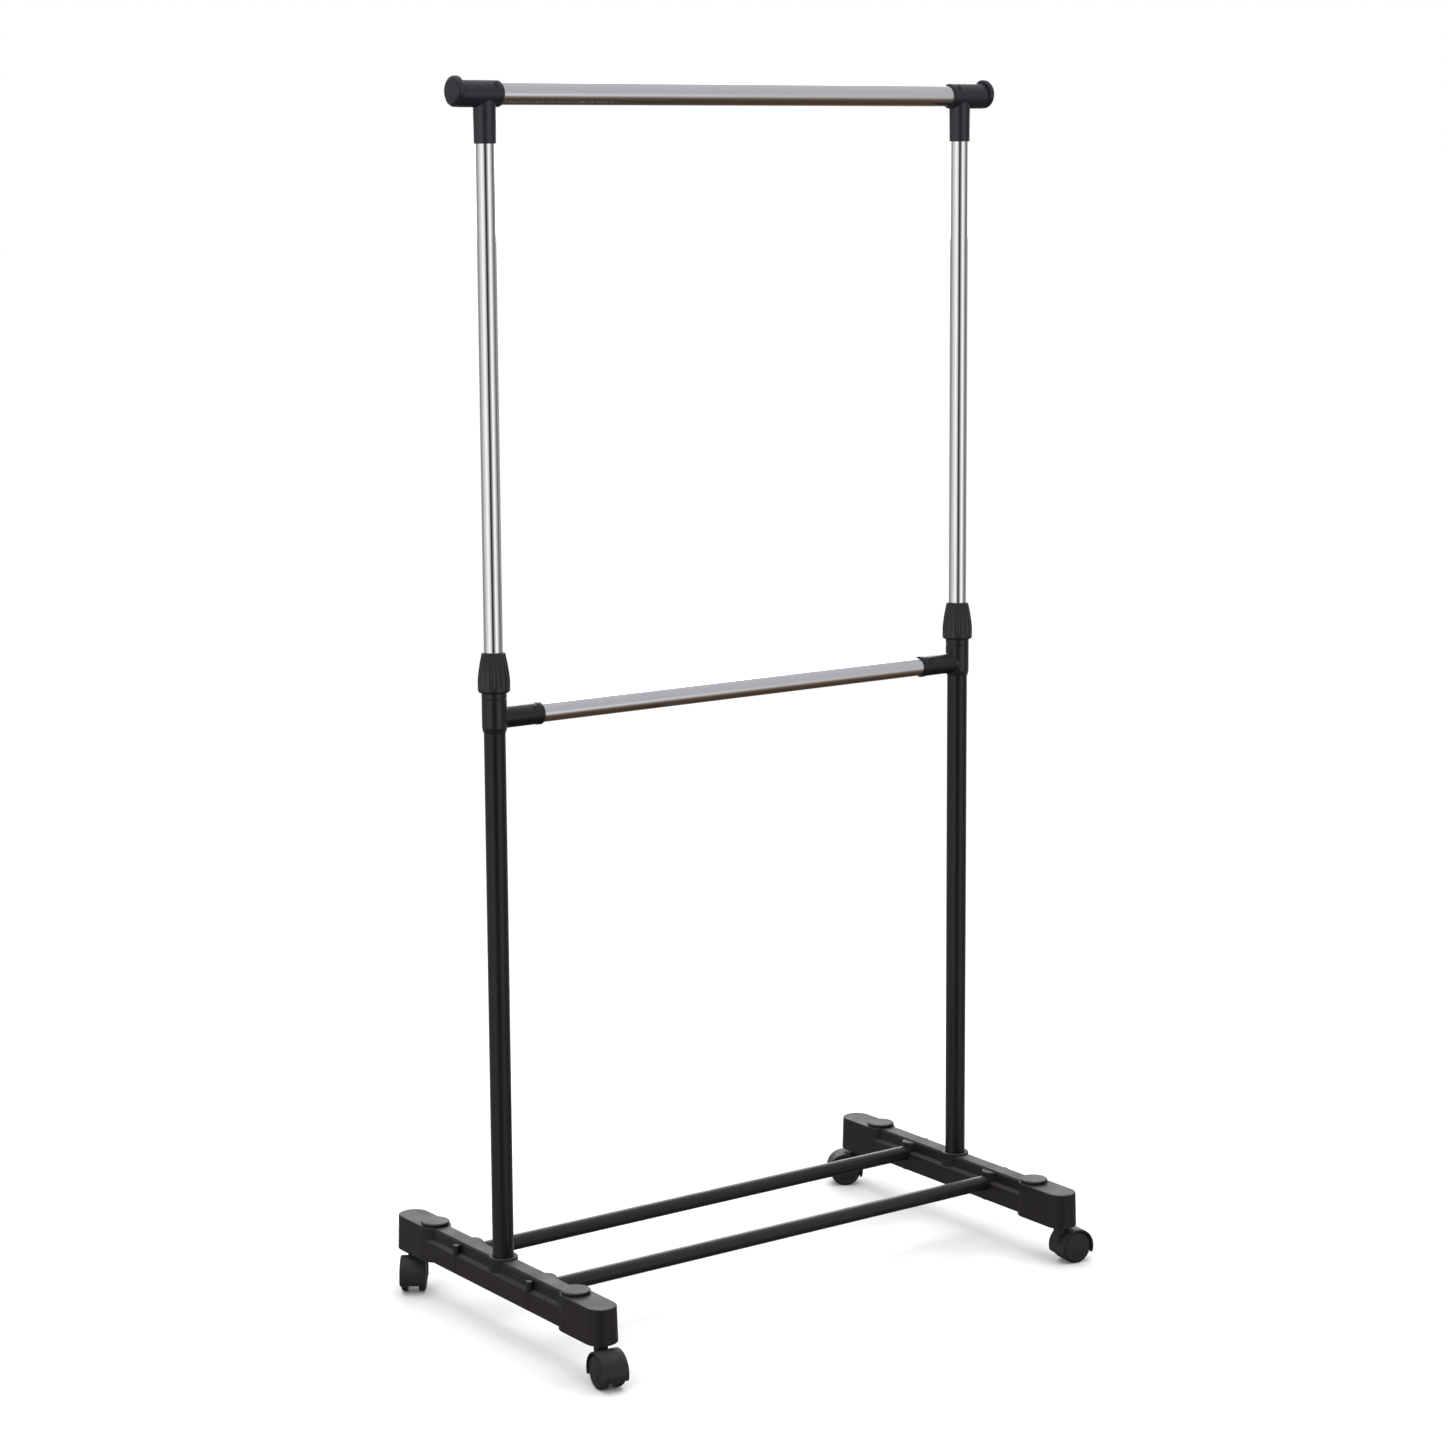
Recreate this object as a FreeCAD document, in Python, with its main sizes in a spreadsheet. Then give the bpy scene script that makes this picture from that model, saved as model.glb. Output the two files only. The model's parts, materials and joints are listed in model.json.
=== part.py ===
"""Rolling clothes rack: two moulded feet on twin-wheel casters, two telescoping posts, two rails.

Frame: millimetres, +Z up, floor at Z = 0, origin on the floor midway between the four casters.
X runs along the rails, Y along the feet. The left side is at -X, the front at -Y.
Every side piece is drawn with +X pointing inwards and is turned half round for the right side.
"""

import FreeCAD
import Part
import Sketcher
import math
import os
import re

DIMENSIONS = {
    # whole rack
    "post_spacing": 700.0,
    "top_rail_height": 1463.0,
    "mid_rail_height": 745.0,
    # foot
    "foot_top": 93.0,
    "foot_bottom": 50.0,
    "beam_bottom": 54.0,
    "foot_end_offset": 207.8,
    "foot_end_radius": 20.3,
    "foot_end_taper": 1.6,
    "foot_wall": 2.8,
    "strip_half": 9.5,
    "recess_half": 11.5,
    "skirt_half": 18.6,
    "recess_top": 90.6,
    "recess_floor": 79.5,
    "ledge_outer": 77.0,
    "socket_radius": 17.5,
    "socket_rim": 95.2,
    "post_seat": 68.0,
    "bolt_recess_top": 62.0,
    "bolt_recess_radius": 10.0,
    "pillar_radius": 12.6,
    "pillar_offset": 7.6,
    "pillar_top": 91.0,
    "rib_radius": 4.6,
    "rib_offset": 15.6,
    "rib_top": 89.5,
    "caster_boss_radius": 10.5,
    # caps on the feet
    "cap_offset": 156.8,
    "cap_radius": 17.5,
    "cap_lift": 1.4,
    "cap_thickness": 3.2,
    "cap_neck_radius": 14.0,
    "cap_neck_depth": 9.0,
    # tubes
    "tube_wall": 1.2,
    "post_radius": 12.7,
    "slide_radius": 11.0,
    "top_rail_radius": 12.7,
    "mid_rail_radius": 11.0,
    "bar_radius": 9.5,
    "bar_offset": 81.6,
    "bar_height": 76.3,
    "bar_end_inset": 3.0,
    "lower_post_top": 791.5,
    "upper_post_foot": 690.0,
    # fits
    "slip_fit": 0.05,
    "sliding_fit": 0.08,
    "free_gap": 0.35,
    # middle tee
    "barrel_radius": 14.7,
    "barrel_above": 31.0,
    "barrel_below": 16.0,
    "barrel_chamfer": 6.0,
    "branch_radius": 12.5,
    "branch_end": 63.0,
    "branch_ring_radius": 13.2,
    "branch_ring_width": 6.0,
    "mid_rail_inset": 26.0,
    "thread_core": 14.2,
    "thread_crest": 14.8,
    "thread_pitch": 4.0,
    "collet_base": 17.0,
    "collet_top": 25.0,
    "collet_tip": 12.6,
    "collet_slot": 1.6,
    # lock nut and the ring inside it
    "nut_height": 46.7,
    "nut_lift": 0.5,
    "nut_radius": 18.9,
    "nut_top_radius": 13.6,
    "nut_foot_radius": 17.8,
    "nut_bore": 15.2,
    "ring_pocket": 13.0,
    "ring_bottom": 25.4,
    "ring_top": 36.4,
    "ring_outer": 12.6,
    "flute_radius": 3.2,
    "flute_depth": 1.1,
    "flute_count": 10.0,
    # top tee
    "stem_radius": 12.9,
    "stem_below": 56.0,
    "head_radius": 15.3,
    "head_inner": 19.5,
    "head_outer": 35.6,
    # rail end cap
    "end_cap_radius": 17.6,
    "end_cap_rise": 2.6,
    "end_cap_thickness": 9.6,
    "end_cap_rounding": 4.2,
    "end_cap_plug": 16.0,
    # casters
    "wheel_radius": 20.3,
    "wheel_inner": 6.6,
    "wheel_outer": 17.2,
    "wheel_clearance": 0.9,
    "trail": 17.0,
    "hood_radius": 23.8,
    "hood_half_width": 16.2,
    "web_half_width": 6.0,
    "hood_skirt": 12.5,
    "hood_boss_radius": 8.4,
    "hood_boss_bottom": 27.0,
    "hood_boss_top": 47.8,
    "axle_radius": 2.5,
    "axle_half_length": 14.2,
    "stem_pin_radius": 4.0,
    "stem_pin_top": 80.0,
    "stem_pin_bottom": 31.0,
    "stem_flange_radius": 7.2,
    "stem_flange_top": 49.4,
    "neck_bottom": 71.6,
    "neck_top": 75.4,
    "neck_radius": 2.9,
    "sleeve_radius": 6.0,
    "sleeve_top": 84.0,
    "sleeve_flange_radius": 9.0,
    "sleeve_flange_height": 1.5,
    # fasteners
    "screw_head_radius": 3.6,
    "screw_head_height": 2.2,
    "screw_radius": 1.7,
    "screw_seat_depth": 0.8,
    "mid_screw_inset": 11.5,
    "top_screw_inset": 10.0,
    "screw_length": 12.0,
    "bolt_radius": 4.0,
    "bolt_head_half_flat": 6.5,
    "bolt_head_height": 5.3,
    "bolt_top": 92.0,
    "washer_radius": 8.5,
    "washer_thickness": 1.5,
    "insert_top": 96.0,
}

SIDES = {"left": -1, "right": 1}
ENDS = {"front": -1, "rear": 1}
# The direction in which each caster trails, in degrees from +X towards +Y.
CASTER_HEADINGS = {
    ("left", "front"): -97.0,
    ("left", "rear"): -126.0,
    ("right", "front"): -8.0,
    ("right", "rear"): 146.0,
}

doc = FreeCAD.newDocument("ClothesRack")
sheet = doc.addObject("Spreadsheet::Sheet", "dims")
for row, (alias, value) in enumerate(DIMENSIONS.items(), start=1):
    sheet.set(f"A{row}", alias)
    sheet.set(f"B{row}", str(value))
    sheet.setAlias(f"B{row}", alias)
doc.recompute()

sub_parts = []


def bound(text):
    """An expression text with each dimension's name read from the sheet."""
    return re.sub(
        r"[a-z][a-z_]*",
        lambda match: f"dims.{match[0]}" if match[0] in DIMENSIONS else match[0],
        text,
    )


def size(text):
    """The present value of an expression, as a plain number."""
    value = sheet.evalExpression(bound(text))
    return float(getattr(value, "Value", value))


def new_body(label):
    """An empty body whose label names its sub-part."""
    body = doc.addObject("PartDesign::Body", f"body_{label}")
    body.Label = label
    return body


def origin_feature(body, role):
    """One of the body's own origin planes or axes."""
    return next(item for item in body.Origin.OriginFeatures if item.Role == role)


def new_sketch(body, role, lift=None, tilt=None):
    """A sketch on an origin plane, lifted along the plane's normal and tilted about its Y."""
    sketch = body.newObject("Sketcher::SketchObject", f"sketch_{len(doc.Objects)}")
    sketch.AttachmentSupport = (origin_feature(body, role), [""])
    sketch.MapMode = "FlatFace"
    if tilt is not None:
        turn = FreeCAD.Rotation(FreeCAD.Vector(0, 1, 0), tilt)
        sketch.AttachmentOffset = FreeCAD.Placement(FreeCAD.Vector(), turn)
    if lift is not None:
        sketch.setExpression("AttachmentOffset.Base.z", bound(lift))
    return sketch


def pin_point(sketch, geometry, position, across, along):
    """Ties one point of a sketch to two expressions, measured from the sketch's origin."""
    for kind, text in (("DistanceX", across), ("DistanceY", along)):
        index = sketch.addConstraint(
            Sketcher.Constraint(kind, -1, 1, geometry, position, size(text))
        )
        sketch.setExpression(f"Constraints[{index}]", bound(text))


def draw_outline(sketch, corners):
    """A closed outline of straight lines through corners given as pairs of expressions."""
    points = [FreeCAD.Vector(size(x), size(y), 0) for x, y in corners]
    first = sketch.GeometryCount
    for index, point in enumerate(points):
        sketch.addGeometry(Part.LineSegment(point, points[(index + 1) % len(points)]))
    for index, (across, along) in enumerate(corners):
        this = first + index
        following = first + (index + 1) % len(corners)
        sketch.addConstraint(Sketcher.Constraint("Coincident", this, 2, following, 1))
        pin_point(sketch, this, 1, across, along)


def draw_box(sketch, low_x, high_x, low_y, high_y):
    """A rectangle between four expressions."""
    draw_outline(
        sketch,
        [(low_x, low_y), (high_x, low_y), (high_x, high_y), (low_x, high_y)],
    )


def draw_circle(sketch, radius, across="0", along="0"):
    """A circle whose radius and centre are expressions."""
    centre = FreeCAD.Vector(size(across), size(along), 0)
    circle = sketch.addGeometry(
        Part.Circle(centre, FreeCAD.Vector(0, 0, 1), size(radius))
    )
    index = sketch.addConstraint(Sketcher.Constraint("Radius", circle, size(radius)))
    sketch.setExpression(f"Constraints[{index}]", bound(radius))
    pin_point(sketch, circle, 3, across, along)


def draw_slot(sketch, near, far, radius):
    """A round-ended slot along the sketch's Y, between two centres and with one radius."""
    reach = size(radius)
    low, high = sorted((near, far), key=size)
    bottom, top = size(low), size(high)
    normal = FreeCAD.Vector(0, 0, 1)
    upper = Part.Circle(FreeCAD.Vector(0, top, 0), normal, reach)
    lower = Part.Circle(FreeCAD.Vector(0, bottom, 0), normal, reach)
    right_top, right_bottom = FreeCAD.Vector(reach, top), FreeCAD.Vector(reach, bottom)
    left_top, left_bottom = FreeCAD.Vector(-reach, top), FreeCAD.Vector(-reach, bottom)
    right = sketch.addGeometry(Part.LineSegment(right_bottom, right_top))
    over = sketch.addGeometry(Part.ArcOfCircle(upper, 0, math.pi))
    left = sketch.addGeometry(Part.LineSegment(left_top, left_bottom))
    under = sketch.addGeometry(Part.ArcOfCircle(lower, math.pi, 2 * math.pi))
    for first, second in ((right, over), (over, left), (left, under), (under, right)):
        sketch.addConstraint(Sketcher.Constraint("Tangent", first, 2, second, 1))
    index = sketch.addConstraint(Sketcher.Constraint("Radius", over, reach))
    sketch.setExpression(f"Constraints[{index}]", bound(radius))
    pin_point(sketch, over, 3, "0", high)
    pin_point(sketch, under, 3, "0", low)


def volume_of(body):
    """The body's volume after a recompute, so that a feature's effect can be compared."""
    doc.recompute()
    return body.Shape.Volume if not body.Shape.isNull() else 0.0


def pad(body, sketch, length, midplane=False, taper=None):
    """Adds material from a sketch, along the plane's normal or evenly on both sides."""
    feature = body.newObject("PartDesign::Pad", f"pad_{len(doc.Objects)}")
    feature.Profile = sketch
    feature.setExpression("Length", bound(length))
    feature.Midplane = midplane
    if taper is not None:
        feature.setExpression("TaperAngle", bound(taper))
    doc.recompute()
    return feature


def pocket(body, sketch, length, midplane=False, reverse=True):
    """Takes material away from a sketch; reverse cuts along the plane's normal."""
    before = volume_of(body)
    feature = body.newObject("PartDesign::Pocket", f"pocket_{len(doc.Objects)}")
    feature.Profile = sketch
    feature.setExpression("Length", bound(length))
    feature.Midplane = midplane
    feature.Reversed = reverse and not midplane
    if volume_of(body) >= before:
        raise ValueError(f"{body.Label}: {feature.Name} removes nothing")
    return feature


def revolve(body, corners, axis="V_Axis", add=True):
    """Turns an outline in the XZ plane a full turn about the Z (V_Axis) or X (H_Axis) line."""
    sketch = new_sketch(body, "XZ_Plane")
    draw_outline(sketch, corners)
    before = volume_of(body)
    kind = "Revolution" if add else "Groove"
    feature = body.newObject(f"PartDesign::{kind}", f"turn_{len(doc.Objects)}")
    feature.Profile = sketch
    feature.ReferenceAxis = (sketch, [axis])
    feature.Angle = 360
    after = volume_of(body)
    if (after > before) != add:
        raise ValueError(f"{body.Label}: {feature.Name} changes nothing")
    return feature


def round_edges(body, radius, wanted):
    """Rounds the edges of the body's present shape for which wanted(edge) is true."""
    names = [
        f"Edge{index}"
        for index, edge in enumerate(body.Shape.Edges, start=1)
        if wanted(edge)
    ]
    if not names:
        raise ValueError(f"{body.Label}: no edge to round")
    feature = body.newObject("PartDesign::Fillet", f"fillet_{len(doc.Objects)}")
    feature.Base = (body.Tip if body.Tip is not feature else feature.BaseFeature, names)
    feature.setExpression("Radius", bound(radius))
    doc.recompute()
    return feature


def polar_pattern(body, original, count):
    """Repeats a feature evenly round the body's Z axis."""
    feature = body.newObject("PartDesign::PolarPattern", f"pattern_{len(doc.Objects)}")
    feature.Originals = [original]
    feature.Axis = (origin_feature(body, "Z_Axis"), [""])
    feature.Angle = 360
    feature.setExpression("Occurrences", bound(count))
    body.Tip = feature
    doc.recompute()
    return feature


def place(item, across="0", along="0", up="0", turn=0.0, axis=(0, 0, 1)):
    """Sets a sub-part down: its turn is in degrees, its position is three expressions."""
    rotation = FreeCAD.Rotation(FreeCAD.Vector(*axis), turn)
    position = FreeCAD.Vector(size(across), size(along), size(up))
    item.Placement = FreeCAD.Placement(position, rotation)
    for letter, text in (("x", across), ("y", along), ("z", up)):
        item.setExpression(f"Placement.Base.{letter}", bound(text))


def keep(item):
    """Adds a finished item to the sub-parts that are written."""
    sub_parts.append(item)
    return item


def side_position(side):
    """The X expression of the post axis on one side."""
    return f"{SIDES[side]} * post_spacing / 2"


def side_turn(side):
    """Side pieces are drawn for the left side and turned half round for the right."""
    return 0.0 if side == "left" else 180.0


def ring_outline(inner, outer, low, high):
    """The half section of a plain ring or tube about the Z axis."""
    return [(inner, low), (outer, low), (outer, high), (inner, high)]


def tube_along_x(label, radius, half_length):
    """A straight tube along X, centred on the YZ plane."""
    body = new_body(label)
    bore = f"{radius} - tube_wall"
    corners = [
        (f"-({half_length})", bore),
        (half_length, bore),
        (half_length, radius),
        (f"-({half_length})", radius),
    ]
    revolve(body, corners, axis="H_Axis")
    return body


def compound(label, items):
    """Identical separate solids that share one sub-part."""
    group = doc.addObject("Part::Compound", f"group_{label}")
    group.Label = label
    group.Links = items
    doc.recompute()
    return keep(group)


# ------------------------------------------------------------------ feet


def shape_beam(body):
    """The foot's beam: a narrow top strip, recessed sides, and a wider skirt below."""
    section = new_sketch(body, "XZ_Plane")
    half = [
        ("strip_half", "foot_top"),
        ("recess_half", "recess_top"),
        ("recess_half + 0.6", "recess_floor"),
        ("skirt_half", "ledge_outer"),
        ("skirt_half + 0.5", "beam_bottom"),
    ]
    mirrored = [(f"-({x})", z) for x, z in reversed(half)]
    draw_outline(section, half + mirrored)
    pad(body, section, "2 * cap_offset", midplane=True)


def shape_end_blocks(body):
    """The round-ended blocks over the casters, a little narrower at the top."""
    for sign in ENDS.values():
        outline = new_sketch(body, "XY_Plane", lift="foot_bottom")
        draw_slot(
            outline,
            f"{sign} * cap_offset",
            f"{sign} * foot_end_offset",
            "foot_end_radius",
        )
        pad(body, outline, "foot_top - foot_bottom", taper="-foot_end_taper")


def round_block_rims(body):
    """Softens the rims of the end blocks' flat tops."""
    top = size("foot_top")
    clear = size("cap_offset")

    def on_rim(edge):
        box = edge.BoundBox
        flat = abs(box.ZMin - top) < 0.01 and abs(box.ZMax - top) < 0.01
        return flat and min(abs(box.YMin), abs(box.YMax)) > clear - 0.5

    round_edges(body, "1.3", on_rim)


def hollow_foot(body):
    """Opens the moulding from below, leaving its walls and roof."""
    for sign in ENDS.values():
        cavity = new_sketch(body, "XY_Plane", lift="foot_bottom")
        draw_slot(
            cavity,
            f"{sign} * cap_offset",
            f"{sign} * foot_end_offset",
            "foot_end_radius - foot_wall - 1.0",
        )
        pocket(body, cavity, "foot_top - foot_bottom - foot_wall")
    lower = new_sketch(body, "XY_Plane", lift="beam_bottom")
    draw_box(
        lower,
        "-(skirt_half - foot_wall)",
        "skirt_half - foot_wall",
        "-cap_offset",
        "cap_offset",
    )
    pocket(body, lower, "ledge_outer - beam_bottom - foot_wall")
    upper = new_sketch(body, "XY_Plane", lift="beam_bottom")
    draw_box(
        upper,
        "-(recess_half - foot_wall)",
        "recess_half - foot_wall",
        "-cap_offset",
        "cap_offset",
    )
    pocket(body, upper, "foot_top - beam_bottom - foot_wall - 1.0")


def add_bosses(body):
    """The post socket, bar pillars, outer ribs, and the bosses of casters and caps."""
    socket = new_sketch(body, "XY_Plane", lift="beam_bottom")
    draw_circle(socket, "socket_radius")
    pad(body, socket, "socket_rim - beam_bottom")
    round_edges(
        body,
        "0.8",
        lambda edge: abs(edge.BoundBox.ZMin - size("socket_rim")) < 0.01,
    )
    for sign in ENDS.values():
        bar_line = f"{sign} * bar_offset"
        pillar = new_sketch(body, "XY_Plane", lift="beam_bottom")
        draw_circle(pillar, "pillar_radius", "pillar_offset", bar_line)
        pad(body, pillar, "pillar_top - beam_bottom")
        rib = new_sketch(body, "XY_Plane", lift="beam_bottom + 1.5")
        draw_circle(rib, "rib_radius", "-rib_offset", bar_line)
        pad(body, rib, "rib_top - beam_bottom - 1.5")
        boss = new_sketch(body, "XY_Plane", lift="foot_bottom")
        draw_circle(boss, "caster_boss_radius", "0", f"{sign} * foot_end_offset")
        pad(body, boss, "foot_top - foot_bottom - 1.0")
        cup = new_sketch(body, "XY_Plane", lift="foot_top - cap_neck_depth - 3.0")
        draw_circle(cup, "foot_end_radius - 2.0", "0", f"{sign} * cap_offset")
        pad(body, cup, "cap_neck_depth + 2.0")


def bore_foot(body):
    """Bores for the post and its bolt, the bars and their screws, sleeves and caps."""
    bores = [
        ("post_seat", "post_radius + slip_fit", "socket_rim - post_seat + 1"),
        ("beam_bottom - 1", "bolt_recess_radius", "bolt_recess_top - beam_bottom + 1"),
        ("beam_bottom", "bolt_radius + 0.3", "post_seat - beam_bottom + 1"),
    ]
    for lift, radius, depth in bores:
        hole = new_sketch(body, "XY_Plane", lift=lift)
        draw_circle(hole, radius)
        pocket(body, hole, depth)
    for sign in ENDS.values():
        bar_hole = new_sketch(body, "YZ_Plane", lift="bar_end_inset")
        draw_circle(bar_hole, "bar_radius + slip_fit", f"{sign} * bar_offset", "bar_height")
        pocket(body, bar_hole, "skirt_half + 10")
        end_line = f"{sign} * foot_end_offset"
        round_holes = [
            ("foot_bottom - 1", "sleeve_radius + slip_fit", end_line, "sleeve_top + 1 - foot_bottom"),
            (
                "foot_bottom - 1",
                "sleeve_flange_radius + slip_fit",
                end_line,
                "sleeve_flange_height + 1",
            ),
            (
                "foot_top - cap_neck_depth - 0.5",
                "cap_neck_radius + slip_fit",
                f"{sign} * cap_offset",
                "cap_neck_depth + 1",
            ),
        ]
        for lift, radius, line, depth in round_holes:
            hole = new_sketch(body, "XY_Plane", lift=lift)
            draw_circle(hole, radius, "0", line)
            pocket(body, hole, depth)
        screw_hole = new_sketch(body, "XY_Plane", lift="beam_bottom - 1")
        draw_circle(screw_hole, "screw_radius", "pillar_offset", f"{sign} * bar_offset")
        pocket(body, screw_hole, "bar_height - bar_radius - beam_bottom + 3")
        head_hole = new_sketch(body, "XY_Plane", lift="beam_bottom - 1")
        draw_circle(
            head_hole, "screw_head_radius + 0.4", "pillar_offset", f"{sign} * bar_offset"
        )
        pocket(body, head_hole, "screw_head_height + 2.8")


def make_foot(side):
    """One moulded foot with its sockets."""
    body = new_body(f"{side}_foot")
    shape_beam(body)
    shape_end_blocks(body)
    round_block_rims(body)
    hollow_foot(body)
    add_bosses(body)
    bore_foot(body)
    place(body, across=side_position(side), turn=side_turn(side))
    return keep(body)


def make_foot_cap(side, end):
    """A press-in disc cap that stands just off the foot's top."""
    body = new_body(f"{side}_foot_{end}_cap")
    underside = "foot_top + cap_lift"
    top = f"{underside} + cap_thickness"
    corners = [
        ("0", "foot_top - cap_neck_depth"),
        ("cap_neck_radius", "foot_top - cap_neck_depth"),
        ("cap_neck_radius", underside),
        ("cap_radius - 0.5", underside),
        ("cap_radius", f"{underside} + 0.5"),
        ("cap_radius", f"{top} - 0.9"),
        ("cap_radius - 0.3", f"{top} - 0.35"),
        ("cap_radius - 1.0", top),
        ("0", f"{top} + 0.35"),
    ]
    revolve(body, corners)
    place(body, across=side_position(side), along=f"{ENDS[end]} * cap_offset")
    return keep(body)


# ------------------------------------------------------------------ posts, rails and bars


def make_lower_post(side):
    """The black steel tube that stands in the foot."""
    body = new_body(f"lower_post_{side}")
    revolve(
        body,
        ring_outline("post_radius - tube_wall", "post_radius", "post_seat", "lower_post_top"),
    )
    place(body, across=side_position(side))
    return keep(body)


def make_upper_post(side):
    """The chromed tube that telescopes in the lower post."""
    body = new_body(f"upper_post_{side}")
    top = "top_rail_height - top_rail_radius - 1.5"
    revolve(
        body,
        ring_outline("slide_radius - tube_wall", "slide_radius", "upper_post_foot", top),
    )
    place(body, across=side_position(side))
    return keep(body)


def make_post_insert(side):
    """The threaded steel insert pressed into the lower post's foot."""
    body = new_body(f"post_insert_{side}")
    revolve(
        body,
        ring_outline(
            "bolt_radius",
            "post_radius - tube_wall - slip_fit",
            "post_seat + 0.5",
            "insert_top",
        ),
    )
    place(body, across=side_position(side))
    return keep(body)


def make_post_bolt(side):
    """A hexagon bolt and its washer, which pull the post down into its socket."""
    bolt = new_body(f"bolt_{side}")
    seat = "bolt_recess_top - washer_thickness"
    head = new_sketch(bolt, "XY_Plane", lift=f"{seat} - bolt_head_height")
    corner = "bolt_head_half_flat / cos(30)"
    corners = [
        (f"{corner} * cos({60 * step})", f"{corner} * sin({60 * step})") for step in range(6)
    ]
    draw_outline(head, corners)
    pad(bolt, head, "bolt_head_height")
    shank = new_sketch(bolt, "XY_Plane", lift=f"{seat} - 0.5")
    draw_circle(shank, "bolt_radius - slip_fit")
    pad(bolt, shank, f"bolt_top - ({seat}) + 0.5")
    washer = new_body(f"washer_{side}")
    revolve(
        washer,
        ring_outline("bolt_radius + 0.2", "washer_radius", seat, "bolt_recess_top"),
    )
    for item in (bolt, washer):
        place(item, across=side_position(side))
    return compound(f"post_bolt_{side}", [bolt, washer])


def make_guide_plug(side):
    """The plastic plug that guides the upper post's foot inside the lower post."""
    body = new_body(f"guide_plug_{side}")
    guide = "post_radius - tube_wall - sliding_fit"
    core = "slide_radius - tube_wall - slip_fit"
    corners = [
        ("0", "upper_post_foot - 14"),
        (f"{guide} - 1", "upper_post_foot - 14"),
        (guide, "upper_post_foot - 13"),
        (guide, "upper_post_foot"),
        (core, "upper_post_foot"),
        (core, "upper_post_foot + 18"),
        (f"{core} - 1.5", "upper_post_foot + 20"),
        ("0", "upper_post_foot + 20"),
    ]
    revolve(body, corners)
    place(body, across=side_position(side))
    return keep(body)


def make_rails():
    """The hanging rail, the middle rail, and the two bars between the feet."""
    top_rail = tube_along_x("top_rail", "top_rail_radius", "post_spacing / 2 + head_outer - 1")
    place(top_rail, up="top_rail_height")
    keep(top_rail)
    mid_rail = tube_along_x("mid_rail", "mid_rail_radius", "post_spacing / 2 - mid_rail_inset")
    place(mid_rail, up="mid_rail_height")
    keep(mid_rail)
    for end, sign in ENDS.items():
        half_length = "post_spacing / 2 - bar_end_inset - 0.3"
        bar = tube_along_x(f"{end}_bar", "bar_radius", half_length)
        for x_sign in SIDES.values():
            hole = new_sketch(bar, "XY_Plane", lift="-bar_radius - 1")
            draw_circle(
                hole, "screw_radius + 0.1", f"{x_sign} * (post_spacing / 2 - pillar_offset)"
            )
            pocket(bar, hole, "bar_radius")
        place(bar, along=f"{sign} * bar_offset", up="bar_height")
        keep(bar)


# ------------------------------------------------------------------ middle tee, ring and nut


def make_mid_tee(side):
    """The tee on the lower post's top: barrel, branch, threaded neck and collet fingers."""
    body = new_body(f"mid_tee_{side}")
    ridges = []
    for step in range(3):
        start = f"barrel_above + 3 + {step} * thread_pitch"
        ridges += [
            ("thread_core", start),
            ("thread_crest", f"{start} + 0.8"),
            ("thread_crest", f"{start} + 1.4"),
            ("thread_core", f"{start} + 2.2"),
        ]
    seam = "barrel_above - 7"
    outer = [
        ("post_radius + 0.7", "-barrel_below"),
        ("barrel_radius", "barrel_chamfer - barrel_below"),
        ("barrel_radius", f"{seam} - 0.5"),
        ("barrel_radius - 0.5", seam),
        ("barrel_radius", f"{seam} + 0.5"),
        ("barrel_radius", "barrel_above - 0.4"),
        ("barrel_radius - 0.4", "barrel_above"),
        ("thread_core", "barrel_above"),
    ]
    finger = [
        ("thread_core", "barrel_above + collet_base"),
        ("collet_tip", "barrel_above + collet_top"),
        ("0", "barrel_above + collet_top"),
    ]
    revolve(body, [("0", "-barrel_below")] + outer + ridges + finger)
    branch = [
        ("0", "0"),
        ("branch_end", "0"),
        ("branch_end", "branch_ring_radius - 0.8"),
        ("branch_end - 0.8", "branch_ring_radius"),
        ("branch_end - branch_ring_width", "branch_ring_radius"),
        ("branch_end - branch_ring_width - 0.7", "branch_radius"),
        ("0", "branch_radius"),
    ]
    revolve(body, branch, axis="H_Axis")
    post_bore = [
        ("0", "-barrel_below - 1"),
        ("post_radius + slip_fit", "-barrel_below - 1"),
        ("post_radius + slip_fit", "lower_post_top - mid_rail_height + 0.3"),
        ("slide_radius + free_gap", "lower_post_top - mid_rail_height + 1.6"),
        ("slide_radius + free_gap", "barrel_above + collet_top + 1"),
        ("0", "barrel_above + collet_top + 1"),
    ]
    revolve(body, post_bore, add=False)
    rail_bore = [
        ("mid_rail_inset - 0.3", "0"),
        ("branch_end + 1", "0"),
        ("branch_end + 1", "mid_rail_radius + slip_fit"),
        ("mid_rail_inset - 0.3", "mid_rail_radius + slip_fit"),
    ]
    revolve(body, rail_bore, axis="H_Axis", add=False)
    for across, along in (("16", "collet_slot / 2"), ("collet_slot / 2", "16")):
        slot = new_sketch(body, "XY_Plane", lift="barrel_above + collet_base + 2")
        draw_box(slot, f"-({across})", across, f"-({along})", along)
        pocket(body, slot, "collet_top - collet_base")
    place(body, across=side_position(side), up="mid_rail_height", turn=side_turn(side))
    return keep(body)


def make_clamp_ring(side):
    """The split ring that the nut squeezes onto the upper post."""
    body = new_body(f"clamp_ring_{side}")
    corners = [
        ("slide_radius + free_gap", "ring_bottom"),
        ("ring_outer", "ring_bottom"),
        ("ring_outer", "ring_top - 1"),
        ("ring_outer - 0.6", "ring_top"),
        ("slide_radius + free_gap", "ring_top"),
    ]
    revolve(body, corners)
    split = new_sketch(body, "XY_Plane", lift="ring_bottom - 1")
    draw_box(split, "0", "ring_outer + 1", "-collet_slot / 2", "collet_slot / 2")
    pocket(body, split, "ring_top - ring_bottom + 2")
    place(
        body,
        across=side_position(side),
        up="mid_rail_height + barrel_above",
        turn=side_turn(side),
    )
    return keep(body)


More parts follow.
